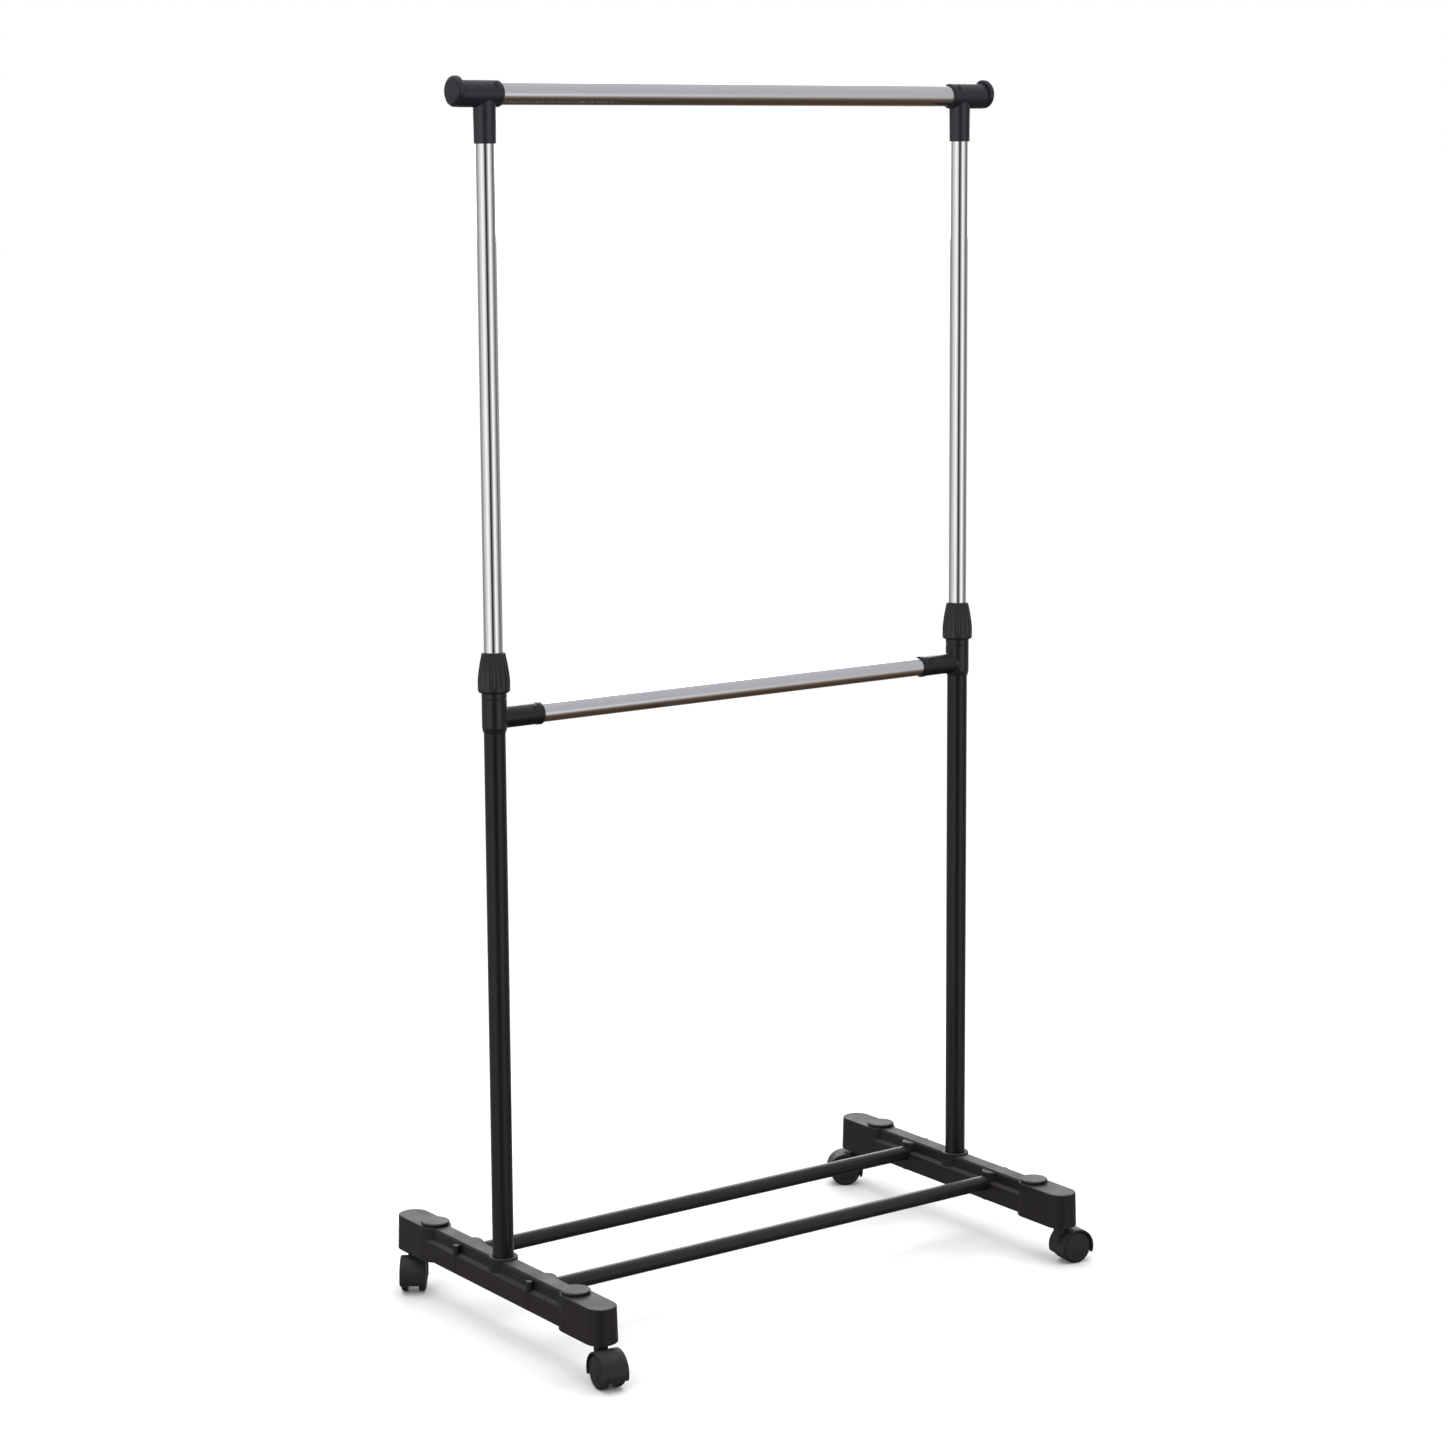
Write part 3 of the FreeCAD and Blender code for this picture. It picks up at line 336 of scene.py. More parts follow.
class Surface:
    """Closed shells collected into one mesh, in millimetres until it is built."""

    def __init__(self) -> None:
        """Starts with no points."""
        self.points: list[np.ndarray] = []
        self.faces: list[list[int]] = []
        self.count = 0

    def _add(self, points: np.ndarray) -> int:
        """Keeps points and gives the index of the first.

        Args:
            points: one row each.

        Returns:
            The first point's index in the mesh.
        """
        first = self.count
        self.points.append(points.reshape(-1, 3))
        self.count += len(self.points[-1])
        return first

    def grid(self, points: np.ndarray, close_rows: bool = False) -> np.ndarray:
        """Adds a grid of quads whose columns run round a closed ring.

        Args:
            points: rows by columns by 3.
            close_rows: whether the last row joins the first.

        Returns:
            The indices of the points, rows by columns.
        """
        rows, columns = points.shape[:2]
        index = self._add(points) + np.arange(rows * columns).reshape(rows, columns)
        below = index if close_rows else index[:-1]
        above = np.roll(index, -1, axis=0) if close_rows else index[1:]
        quads = [below, np.roll(below, -1, axis=1), np.roll(above, -1, axis=1), above]
        self.faces += np.stack(quads, axis=-1).reshape(-1, 4).tolist()
        return index

    def shell(self, rings: np.ndarray) -> None:
        """Adds a closed solid: rings of points, with the first and last filled.

        Args:
            rings: rows by columns by 3.
        """
        index = self.grid(rings)
        self.faces.append(index[0][::-1].tolist())
        self.faces.append(index[-1].tolist())

    def lathe(
        self,
        profile: np.ndarray,
        centre: Sequence[float] = (0, 0, 0),
        axis: Axis = Axis.z,
        segments: int = FINE,
        hollow: bool = False,
        shape: Optional[Callable[[np.ndarray, np.ndarray], np.ndarray]] = None,
        saddle: float = 0.0,
    ) -> None:
        """Turns a profile about an axis.

        Point (i, j) is centre + height_i * along + radius_ij * (cos a_j * across + sin a_j *
        other), where radius_ij is the profile's radius, or what shape makes of it.

        Args:
            profile: radius and height of each point.
            centre: where height 0 lies.
            axis: the axis's direction.
            segments: columns round the axis.
            hollow: whether the profile is a closed loop round a wall.
            shape: changes the radii, from radius and height columns and the row of angles.
            saddle: the radius of the round wall that a branch's root ends in, where the wall's
                axis crosses the branch's and both are square to Y. A root point moves along the
                branch to the height sqrt(saddle^2 - y^2).
        """
        across, other, along = (np.array(v, float) for v in axis.value)
        angles = np.linspace(0, 2 * math.pi, segments, endpoint=False)
        radii = np.repeat(profile[:, :1], segments, axis=1)
        if shape is not None:
            radii = shape(profile, angles)
        around = np.cos(angles)[:, None] * across + np.sin(angles)[:, None] * other
        points = radii[..., None] * around + profile[:, 1][:, None, None] * along
        points = points + np.array(centre, float)
        if saddle:
            height = points @ along
            sideways = np.minimum(np.abs(points[..., 1]), saddle)
            wall = np.sign(profile[:, 1].mean()) * np.sqrt(saddle**2 - sideways**2)
            shift = np.where(np.abs(height) < saddle, wall - height, 0.0)
            points = points + shift[..., None] * along
        if hollow:
            self.grid(points, close_rows=True)
        else:
            self.shell(points)

    def extrude(self, outline: np.ndarray, axis: Axis, low: float, high: float) -> None:
        """Pulls a closed outline along an axis.

        Args:
            outline: points across the axis.
            axis: the direction of the pull.
            low: where it starts.
            high: where it ends.
        """
        across, other, along = (np.array(v, float) for v in axis.value)
        flat = outline[:, :1] * across + outline[:, 1:] * other
        self.shell(np.stack([flat + low * along, flat + high * along]))

    def build(
        self, name: str, place: Optional[Matrix] = None, crease: float = 32
    ) -> bpy.types.Object:
        """Makes the object: joins coincident points, turns faces outwards, smooths, places.

        Args:
            name: the object's name.
            place: where it goes, in metres.
            crease: edges sharper than this many degrees stay crisp.

        Returns:
            The object, at the origin, with its place in its mesh.
        """
        mesh = bpy.data.meshes.new(name)
        points = np.concatenate(self.points) * MM
        mesh.from_pydata(points, [], self.faces)
        work = bmesh.new()
        work.from_mesh(mesh)
        bmesh.ops.remove_doubles(work, verts=work.verts, dist=2e-6)
        bmesh.ops.dissolve_degenerate(work, edges=work.edges, dist=1e-7)
        bmesh.ops.recalc_face_normals(work, faces=work.faces)
        work.to_mesh(mesh)
        work.free()
        if place is not None:
            mesh.transform(place)
        mesh.shade_smooth()
        mesh.set_sharp_from_angle(angle=math.radians(crease))
        obj = bpy.data.objects.new(name, mesh)
        bpy.context.scene.collection.objects.link(obj)
        weigh_normals(obj)
        return obj


def weigh_normals(obj: bpy.types.Object) -> None:
    """Makes large faces shade flat beside small roundings, and keeps the result in the mesh.

    A vertex normal becomes the mean of its faces' normals weighted by area, so a tube's long wall
    isn't bent by the small faces of its deburred ends.

    Args:
        obj: the piece.
    """
    modifier = obj.modifiers.new("weights", "WEIGHTED_NORMAL")
    modifier.keep_sharp = True
    bpy.context.view_layer.update()
    depsgraph = bpy.context.evaluated_depsgraph_get()
    weighed = bpy.data.meshes.new_from_object(
        obj.evaluated_get(depsgraph), preserve_all_data_layers=True, depsgraph=depsgraph
    )
    before = obj.data
    obj.modifiers.clear()
    obj.data = weighed
    bpy.data.meshes.remove(before)
    weighed.name = obj.name


@dataclass(frozen=True)
class FlatSided:
    """Cuts a turned piece flat on its two sides.

    Attributes:
        half_width: how far each flat is from the axis.
    """

    half_width: float

    def __call__(self, profile: np.ndarray, turn: np.ndarray) -> np.ndarray:
        """The radius is the profile's own, or the distance to the flat where that is less.

        Args:
            profile: radius and height of each point.
            turn: the angles round the axis.

        Returns:
            Radii, a row for each point and a column for each angle.
        """
        return np.minimum(profile[:, :1], self.half_width / np.maximum(np.abs(np.sin(turn)), 0.1))


def solid_profile(corners: Sequence[tuple[float, float, float]], steps: int = 5) -> np.ndarray:
    """A rounded profile that starts and ends on the axis.

    Args:
        corners: radius, height and rounding of each corner, from the axis back to the axis.
        steps: segments in each rounding.

    Returns:
        Radius and height of each point, with the axis points kept just off the axis.
    """
    profile = rounded(corners, closed=False, steps=steps)
    profile[:, 0] = np.maximum(profile[:, 0], 0.0)
    return profile


def pin_profile(
    radius: float, low: float, high: float, foot: float, head: float, steps: int = 5
) -> np.ndarray:
    """A plain round pin.

    Args:
        radius: its radius.
        low: its lower end.
        high: its upper end.
        foot: the rounding of the lower edge.
        head: the rounding of the upper edge.
        steps: segments in each rounding.

    Returns:
        Radius and height of each point, from the axis back to the axis.
    """
    corners = [(0, low, 0), (radius, low, foot), (radius, high, head), (0, high, 0)]
    return solid_profile(corners, steps)


def tube_profile(outer: float, inner: float, low: float, high: float) -> np.ndarray:
    """The wall of a cut tube, with its edges deburred.

    Args:
        outer: the outside radius.
        inner: the bore's radius.
        low: the lower end.
        high: the upper end.

    Returns:
        Radius and height of each point, round the wall.
    """
    edge = 0.3
    corners = [(inner, low, edge), (outer, low, edge), (outer, high, edge), (inner, high, edge)]
    return rounded(corners, steps=3)


# ------------------------------------------------------------------ node groups


class Group:
    """A node group under construction, with its own interface."""

    def __init__(self, name: str) -> None:
        """Makes an empty group.

        Args:
            name: the group's name.
        """
        self.tree = bpy.data.node_groups.new(name, "ShaderNodeTree")
        self.inlet = self.tree.nodes.new("NodeGroupInput")
        self.outlet = self.tree.nodes.new("NodeGroupOutput")

    def takes(self, name: str, default: float) -> bpy.types.NodeSocket:
        """Adds a number that the group takes.

        Args:
            name: the socket's name.
            default: its value where nothing is set.

        Returns:
            The socket inside the group.
        """
        socket = self.tree.interface.new_socket(
            name, in_out="INPUT", socket_type="NodeSocketFloat"
        )
        socket.default_value = default
        return self.inlet.outputs[name]

    def gives(
        self, name: str, source: bpy.types.NodeSocket, kind: str = "NodeSocketFloat"
    ) -> None:
        """Adds an output and links it.

        Args:
            name: the socket's name.
            source: what it gives.
            kind: the socket's type.
        """
        self.tree.interface.new_socket(name, in_out="OUTPUT", socket_type=kind)
        self.tree.links.new(source, self.outlet.inputs[name])

    def node(self, kind: str, **settings: object) -> bpy.types.Node:
        """Adds a node and sets it up.

        Args:
            kind: the node's type.
            settings: attributes by name, or input sockets by name with underscores for spaces.

        Returns:
            The node.
        """
        return add_node(self.tree, kind, **settings)

    def math(self, operation: str, first: object, second: object = 0.0) -> bpy.types.NodeSocket:
        """Adds a calculation.

        Args:
            operation: the operation's name.
            first: a socket or a number.
            second: a socket or a number.

        Returns:
            The result.
        """
        return calculate(self.tree, operation, first, second)


def add_node(tree: bpy.types.NodeTree, kind: str, **settings: object) -> bpy.types.Node:
    """Adds a node to a tree and sets it up.

    Args:
        tree: the node tree.
        kind: the node's type.
        settings: attributes by name, or input sockets by name with underscores for spaces; a
            socket given as the value is linked.

    Returns:
        The node.
    """
    node = tree.nodes.new(kind)
    set_up(tree, node, **settings)
    return node


def feed(tree: bpy.types.NodeTree, socket: bpy.types.NodeSocket, value: object) -> None:
    """Links an input to a socket, or sets it to a value.

    Args:
        tree: the node tree.
        socket: the input.
        value: an output to link, a number or a colour with its alpha.
    """
    if isinstance(value, bpy.types.NodeSocket):
        tree.links.new(value, socket)
    else:
        socket.default_value = value


def set_up(tree: bpy.types.NodeTree, node: bpy.types.Node, **settings: object) -> None:
    """Sets a node's attributes and inputs.

    Args:
        tree: the node tree.
        node: the node.
        settings: attributes by name, or input sockets by name with underscores for spaces.
    """
    for key, value in settings.items():
        if hasattr(node, key):
            setattr(node, key, value)
        else:
            feed(tree, node.inputs[key.replace("_", " ")], value)


def map_range(
    tree: bpy.types.NodeTree,
    value: bpy.types.NodeSocket,
    source: tuple[float, float],
    target: tuple[float, float] = (0.0, 1.0),
    curve: str = "LINEAR",
) -> bpy.types.NodeSocket:
    """Carries a value from one range into another, and holds it at the ends.

    Args:
        tree: the node tree.
        value: what is carried over.
        source: the range it comes from.
        target: the range it goes to.
        curve: the way between the ends, LINEAR or SMOOTHSTEP.

    Returns:
        The result.
    """
    node = add_node(
        tree,
        "ShaderNodeMapRange",
        interpolation_type=curve,
        Value=value,
        From_Min=source[0],
        From_Max=source[1],
        To_Min=target[0],
        To_Max=target[1],
    )
    return node.outputs["Result"]


def mix_colours(
    tree: bpy.types.NodeTree, share: bpy.types.NodeSocket, first: object, second: object
) -> bpy.types.NodeSocket:
    """Blends two colours.

    Args:
        tree: the node tree.
        share: 0 for the first colour, 1 for the second.
        first: a colour socket, or an RGB colour.
        second: a colour socket, or an RGB colour.

    Returns:
        The blended colour.
    """
    node = add_node(tree, "ShaderNodeMix", data_type="RGBA", Factor=share)
    for index, colour in ((6, first), (7, second)):
        linked = isinstance(colour, bpy.types.NodeSocket)
        feed(tree, node.inputs[index], colour if linked else (*colour, 1.0))
    return node.outputs[2]


def calculate(
    tree: bpy.types.NodeTree, operation: str, first: object, second: object = 0.0
) -> bpy.types.NodeSocket:
    """Adds a Math node.

    Args:
        tree: the node tree.
        operation: the operation's name.
        first: a socket or a number.
        second: a socket or a number.

    Returns:
        The result.
    """
    node = tree.nodes.new("ShaderNodeMath")
    node.operation = operation
    for socket, value in zip(node.inputs, (first, second)):
        feed(tree, socket, value)
    return node.outputs[0]


def ramp(
    tree: bpy.types.NodeTree,
    source: bpy.types.NodeSocket,
    stops: Sequence[tuple[float, Sequence[float]]],
) -> bpy.types.NodeSocket:
    """Adds a colour ramp.

    Args:
        tree: the node tree.
        source: the value that is looked up.
        stops: position and RGB colour of each stop, in order.

    Returns:
        The colour.
    """
    node = tree.nodes.new("ShaderNodeValToRGB")
    elements = node.color_ramp.elements
    elements.remove(elements[-1])
    elements[0].position = stops[0][0]
    for position, _ in stops[1:]:
        elements.new(position)
    for element, (_, colour) in zip(elements, stops):
        element.color = (*colour, 1.0)
    tree.links.new(source, node.inputs[0])
    return node.outputs[0]


def use_group(
    tree: bpy.types.NodeTree, group: bpy.types.NodeTree, **values: float
) -> bpy.types.Node:
    """Puts a shared group into a material.

    Args:
        tree: the material's node tree.
        group: the group.
        values: its inputs by name, with underscores for spaces.

    Returns:
        The group's node.
    """
    return add_node(tree, "ShaderNodeGroup", node_tree=group, **values)


def mould_grain_group() -> bpy.types.NodeTree:
    """The fine spark texture and slow waviness of a moulded surface.

    Returns:
        A group that takes Grain Size and Depth, and gives Normal, Speckle and Cloud.
    """
    group = Group("MouldGrain")
    size = group.takes("Grain Size", 0.4)
    depth = group.takes("Depth", 0.3)
    place = group.node("ShaderNodeTexCoord").outputs["Object"]
    scale = group.math("DIVIDE", 1.0 / MM, size)
    fine = group.node("ShaderNodeTexNoise", Vector=place, Scale=scale, Detail=3.0, Roughness=0.6)
    cloud = group.node("ShaderNodeTexNoise", Vector=place, Scale=34.0, Detail=4.0, Roughness=0.55)
    waves = group.math("MULTIPLY", cloud.outputs["Fac"], 0.6)
    height = group.math("ADD", fine.outputs["Fac"], waves)
    bump = group.node("ShaderNodeBump", Strength=depth, Distance=0.06 * MM, Height=height)
    group.gives("Normal", bump.outputs["Normal"], "NodeSocketVector")
    group.gives("Speckle", fine.outputs["Fac"])
    group.gives("Cloud", cloud.outputs["Fac"])
    return group.tree


def edge_wear_group() -> bpy.types.NodeTree:
    """Where handling has polished or scuffed the edges.

    The mask is one minus the cosine between the surface's normal and the same normal averaged
    over a small radius, which rises only near an edge, broken up by noise.

    Returns:
        A group that takes Reach and Amount, and gives Mask.
    """
    group = Group("EdgeWear")
    reach = group.takes("Reach", 1.0)
    amount = group.takes("Amount", 0.5)
    radius = group.math("MULTIPLY", reach, MM)
    soft = group.node("ShaderNodeBevel", samples=4, Radius=radius)
    true = group.node("ShaderNodeNewGeometry").outputs["Normal"]
    product = group.node("ShaderNodeVectorMath", operation="DOT_PRODUCT")
    group.tree.links.new(soft.outputs["Normal"], product.inputs[0])
    group.tree.links.new(true, product.inputs[1])
    bend = group.math("SUBTRACT", 1.0, product.outputs["Value"])
    place = group.node("ShaderNodeTexCoord").outputs["Object"]
    patches = group.node("ShaderNodeTexNoise", Vector=place, Scale=260.0, Detail=5.0)
    steep = group.math("MULTIPLY", bend, 9.0)
    broken = group.math("MULTIPLY", steep, patches.outputs["Fac"])
    limited = group.math("MINIMUM", broken, 1.0)
    group.gives("Mask", group.math("MULTIPLY", limited, amount))
    return group.tree


def dust_and_painted_sheen_group() -> bpy.types.NodeTree:
    """Dust on faces that look up, and a painted sheen: the same mask lightens upward faces in place
    of the light they catch.

    Returns:
        A group that takes Amount and gives Mask.
    """
    group = Group("SettledDust")
    amount = group.takes("Amount", 0.3)
    normal = group.node("ShaderNodeNewGeometry").outputs["Normal"]
    upward = group.node("ShaderNodeSeparateXYZ", Vector=normal).outputs["Z"]
    # Upward faces get the most: real dust, and painted sheen standing in for the light the tops
    # catch.
    facing = group.math("POWER", group.math("MAXIMUM", upward, 0.0), 3.0)
    place = group.node("ShaderNodeTexCoord").outputs["Object"]
    drift = group.node("ShaderNodeTexNoise", Vector=place, Scale=70.0, Detail=7.0, Roughness=0.7)
    spread = group.math("MULTIPLY", facing, drift.outputs["Fac"])
    group.gives("Mask", group.math("MULTIPLY", spread, amount))
    return group.tree


def handling_group() -> bpy.types.NodeTree:
    """Smudges and fine lengthwise rub marks on polished plating.

    Returns:
        A group that takes Length (the stretch of the marks) and gives Smudge and Rub.
    """
    group = Group("Handling")
    length = group.takes("Length", 8.0)
    place = group.node("ShaderNodeTexCoord").outputs["Object"]
    smudge = group.node("ShaderNodeTexNoise", Vector=place, Scale=26.0, Detail=5.0, Roughness=0.6)
    parts = group.node("ShaderNodeSeparateXYZ", Vector=place)
    along = group.math("DIVIDE", parts.outputs["Z"], length)
    across = group.math("DIVIDE", parts.outputs["X"], length)
    joined = group.node("ShaderNodeCombineXYZ")
    group.tree.links.new(across, joined.inputs[0])
    group.tree.links.new(parts.outputs["Y"], joined.inputs[1])
    group.tree.links.new(along, joined.inputs[2])
    rub = group.node("ShaderNodeTexNoise", Vector=joined.outputs[0], Scale=420.0, Detail=3.0)
    group.gives("Smudge", smudge.outputs["Fac"])
    group.gives("Rub", rub.outputs["Fac"])
    return group.tree


# ------------------------------------------------------------------ finishes


@dataclass(frozen=True)
class Plastic:
    """A moulded plastic's look."""

    slot: Slot
    tone: tuple[float, float, float]
    sheen_tone: tuple[float, float, float]
    roughness: tuple[float, float]
    grain: float = 0.35
    depth: float = 0.25
    # How much the upward faces lighten: real dust, and painted sheen in place of the light they
    # catch.
    dust_and_sheen: float = 0.16
    wear: float = 0.35
    specular: float = 0.3


@dataclass(frozen=True)
class Paint:
    """A powder coat's look."""

    slot: Slot
    tone: tuple[float, float, float]
    sheen_tone: tuple[float, float, float]
    roughness: tuple[float, float]
    peel: float = 0.9
    coat: float = 0.3


PLASTICS = (
    Plastic(
        Slot.foot,
        (0.0075, 0.0062, 0.0058),
        (0.012, 0.0095, 0.0085),
        (0.34, 0.48),
        grain=0.45,
        dust_and_sheen=0.24,
    ),
    Plastic(Slot.cap, (0.009, 0.009, 0.009), (0.014, 0.0135, 0.013), (0.3, 0.44), dust_and_sheen=0.3),
    Plastic(
        Slot.fitting,
        (0.0035, 0.0035, 0.0037),
        (0.006, 0.006, 0.006),
        (0.2, 0.3),
        specular=0.5,
    ),
    Plastic(
        Slot.nut,
        (0.004, 0.004, 0.0042),
        (0.0075, 0.0075, 0.0075),
        (0.2, 0.3),
        wear=0.5,
        specular=0.6,
    ),
    Plastic(
        Slot.top_fitting,
        (0.0065, 0.0075, 0.0105),
        (0.0095, 0.011, 0.0155),
        (0.2, 0.3),
        depth=0.15,
        specular=0.6,
    ),
    Plastic(Slot.caster, (0.012, 0.012, 0.012), (0.018, 0.018, 0.0175), (0.32, 0.44), wear=0.5),
    Plastic(Slot.wheel, (0.01, 0.01, 0.01), (0.019, 0.0185, 0.018), (0.42, 0.6), wear=0.6),
    Plastic(
        Slot.nylon,
        (0.72, 0.7, 0.65),
        (0.8, 0.78, 0.73),
        (0.4, 0.5),
        wear=0.0,
        dust_and_sheen=0.0,
        specular=0.5,
    ),
)
PAINTS = (
    Paint(Slot.post, (0.0035, 0.0027, 0.0023), (0.006, 0.0046, 0.0039), (0.24, 0.34), coat=0.2),
    Paint(Slot.bar, (0.007, 0.007, 0.0072), (0.011, 0.011, 0.011), (0.3, 0.42), coat=0.25),
)


NOISE_MIDDLE = (0.3, 0.7)


class Finishes:
    """The object's materials, each built once and handed out by slot."""

    def __init__(self) -> None:
        """Builds the shared node groups and every material."""
        self.grain = mould_grain_group()
        self.wear = edge_wear_group()
        # Dust plus painted sheen on upward faces.
        self.dust_and_sheen = dust_and_painted_sheen_group()
        self.handling = handling_group()
        self.by_slot: dict[Slot, bpy.types.Material] = {}
        for plastic in PLASTICS:
            self.by_slot[plastic.slot] = self.moulded_plastic(plastic)
        for paint in PAINTS:
            self.by_slot[paint.slot] = self.powder_coat(paint)
        self.by_slot[Slot.chrome] = self.chrome_plate()
        self.by_slot[Slot.steel] = self.zinc_steel()
        self.by_slot[Slot.screw] = self.blackened_steel()

    def _start(self, slot: Slot) -> tuple[bpy.types.NodeTree, bpy.types.Node]:
        """A new material with an empty Principled shader.

        Args:
            slot: the slot that names it.

        Returns:
            The node tree and the shader.
        """
        material = bpy.data.materials.new(f"{slot.value}_finish")
        material.use_nodes = True
        tree = material.node_tree
        self.by_slot[slot] = material
        return tree, tree.nodes["Principled BSDF"]

    def _range(
        self, tree: bpy.types.NodeTree, value: bpy.types.NodeSocket, low: float, high: float
    ) -> bpy.types.NodeSocket:
        """Spreads the middle of a noise over a range.

        Args:
            tree: the node tree.
            value: the noise, from 0 to 1.
            low: the result at the noise's usual low.
            high: the result at its usual high.

        Returns:
            The value in the range.
        """
        return map_range(tree, value, NOISE_MIDDLE, (low, high))

    def moulded_plastic(self, look: Plastic) -> bpy.types.Material:
        """Moulded plastic: spark grain, cloudy tone, dust with a painted sheen on top, and rubbed
        edges.

        Args:
            look: the plastic's numbers.

        Returns:
            The material.
        """
        tree, shader = self._start(look.slot)
        grain = use_group(tree, self.grain, Grain_Size=look.grain, Depth=look.depth)
        wear = use_group(tree, self.wear, Reach=0.9, Amount=look.wear)
        # Dust, and a painted sheen that lightens the upward faces in place of the light they catch.
        dust_and_sheen = use_group(tree, self.dust_and_sheen, Amount=look.dust_and_sheen)
        tone = mix_colours(tree, grain.outputs["Cloud"], look.tone, look.sheen_tone)
        rubbed = tuple(3.2 * part for part in look.sheen_tone)
        worn = mix_colours(tree, wear.outputs["Mask"], tone, rubbed)
        # Upward faces blend towards pale grey: partly dust, partly painted sheen.
        dusted_and_sheened = mix_colours(tree, dust_and_sheen.outputs["Mask"], worn, (0.3, 0.29, 0.27))
        rough = self._range(tree, grain.outputs["Cloud"], *look.roughness)
        matt = calculate(tree, "MULTIPLY", dust_and_sheen.outputs["Mask"], 0.9)
        speckle = calculate(tree, "MULTIPLY", grain.outputs["Speckle"], 0.05)
        speckled = calculate(tree, "ADD", calculate(tree, "ADD", rough, matt), speckle)
        set_up(
            tree,
            shader,
            Base_Color=dusted_and_sheened,
            Roughness=speckled,
            Normal=grain.outputs["Normal"],
            Specular_IOR_Level=look.specular,
        )
        return self.by_slot[look.slot]

    def powder_coat(self, look: Paint) -> bpy.types.Material:
        """Black powder coat: orange peel under a thin clear gloss.

        Args:
            look: the paint's numbers.

        Returns:
            The material.
        """
        tree, shader = self._start(look.slot)
        peel = use_group(tree, self.grain, Grain_Size=look.peel, Depth=0.22)
        wear = use_group(tree, self.wear, Reach=0.7, Amount=0.3)
        # Dust, and a painted sheen on the upward faces in place of the light they catch.
        dust_and_sheen = use_group(tree, self.dust_and_sheen, Amount=0.12)
        tone = mix_colours(tree, peel.outputs["Cloud"], look.tone, look.sheen_tone)
        worn = mix_colours(tree, wear.outputs["Mask"], tone, (0.09, 0.085, 0.08))
        # Upward faces blend towards pale grey: partly dust, partly painted sheen.
        dusted_and_sheened = mix_colours(tree, dust_and_sheen.outputs["Mask"], worn, (0.26, 0.25, 0.235))
        rough = self._range(tree, peel.outputs["Cloud"], *look.roughness)
        matt = calculate(tree, "MULTIPLY", dust_and_sheen.outputs["Mask"], 0.8)
        set_up(
            tree,
            shader,
            Base_Color=dusted_and_sheened,
            Roughness=calculate(tree, "ADD", rough, matt),
            Normal=peel.outputs["Normal"],
            Specular_IOR_Level=0.3,
            Coat_Weight=look.coat,
            Coat_Roughness=0.18,
        )
        return self.by_slot[look.slot]

    def chrome_plate(self) -> bpy.types.Material:
        """Polished chrome with faint smudges and lengthwise rub marks.

        Returns:
            The material.
        """
        tree, shader = self._start(Slot.chrome)
        marks = use_group(tree, self.handling, Length=14.0)
        tone = mix_colours(tree, marks.outputs["Smudge"], (0.86, 0.865, 0.88), (0.9, 0.9, 0.905))
        film = self._range(tree, marks.outputs["Smudge"], 0.045, 0.085)
        fine = calculate(tree, "MULTIPLY", marks.outputs["Rub"], 0.03)
        rough = calculate(tree, "ADD", film, fine)
        set_up(tree, shader, Base_Color=tone, Roughness=rough, Metallic=1.0)
        return self.by_slot[Slot.chrome]

    def zinc_steel(self) -> bpy.types.Material:
        """Zinc-plated steel with a faint spangle.

        Returns:
            The material.
        """
        tree, shader = self._start(Slot.steel)
        marks = use_group(tree, self.handling, Length=2.0)
        tone = mix_colours(tree, marks.outputs["Smudge"], (0.5, 0.51, 0.53), (0.66, 0.66, 0.66))
        rough = self._range(tree, marks.outputs["Rub"], 0.28, 0.44)
        set_up(tree, shader, Base_Color=tone, Roughness=rough, Metallic=1.0)
        return self.by_slot[Slot.steel]

    def blackened_steel(self) -> bpy.types.Material:
        """Blackened screws, bright where a driver has rubbed them.

        Returns:
            The material.
        """
        tree, shader = self._start(Slot.screw)
        wear = use_group(tree, self.wear, Reach=0.4, Amount=0.6)
        grain = use_group(tree, self.grain, Grain_Size=0.3, Depth=0.2)
        black, grey = (0.02, 0.02, 0.021), (0.034, 0.033, 0.033)
        tone = mix_colours(tree, grain.outputs["Cloud"], black, grey)
        worn = mix_colours(tree, wear.outputs["Mask"], tone, (0.2, 0.2, 0.2))
        rough = self._range(tree, grain.outputs["Cloud"], 0.3, 0.45)
        normal = grain.outputs["Normal"]
        set_up(tree, shader, Base_Color=worn, Roughness=rough, Normal=normal, Metallic=0.6)
        return self.by_slot[Slot.screw]


# ------------------------------------------------------------------ pieces


def side_matrix(side: Side, height: float = 0.0) -> Matrix:
    """Where a side piece goes: drawn with +X inwards, turned half round on the right.

    Args:
        side: which side.
        height: how high its origin is, in millimetres.

    Returns:
        The placing, in metres.
    """
    offset = Vector((side.value * RACK.post_spacing / 2 * MM, 0, height * MM))
    turn = math.pi if side is Side.right else 0.0
    return Matrix.Translation(offset) @ Matrix.Rotation(turn, 4, "Z")


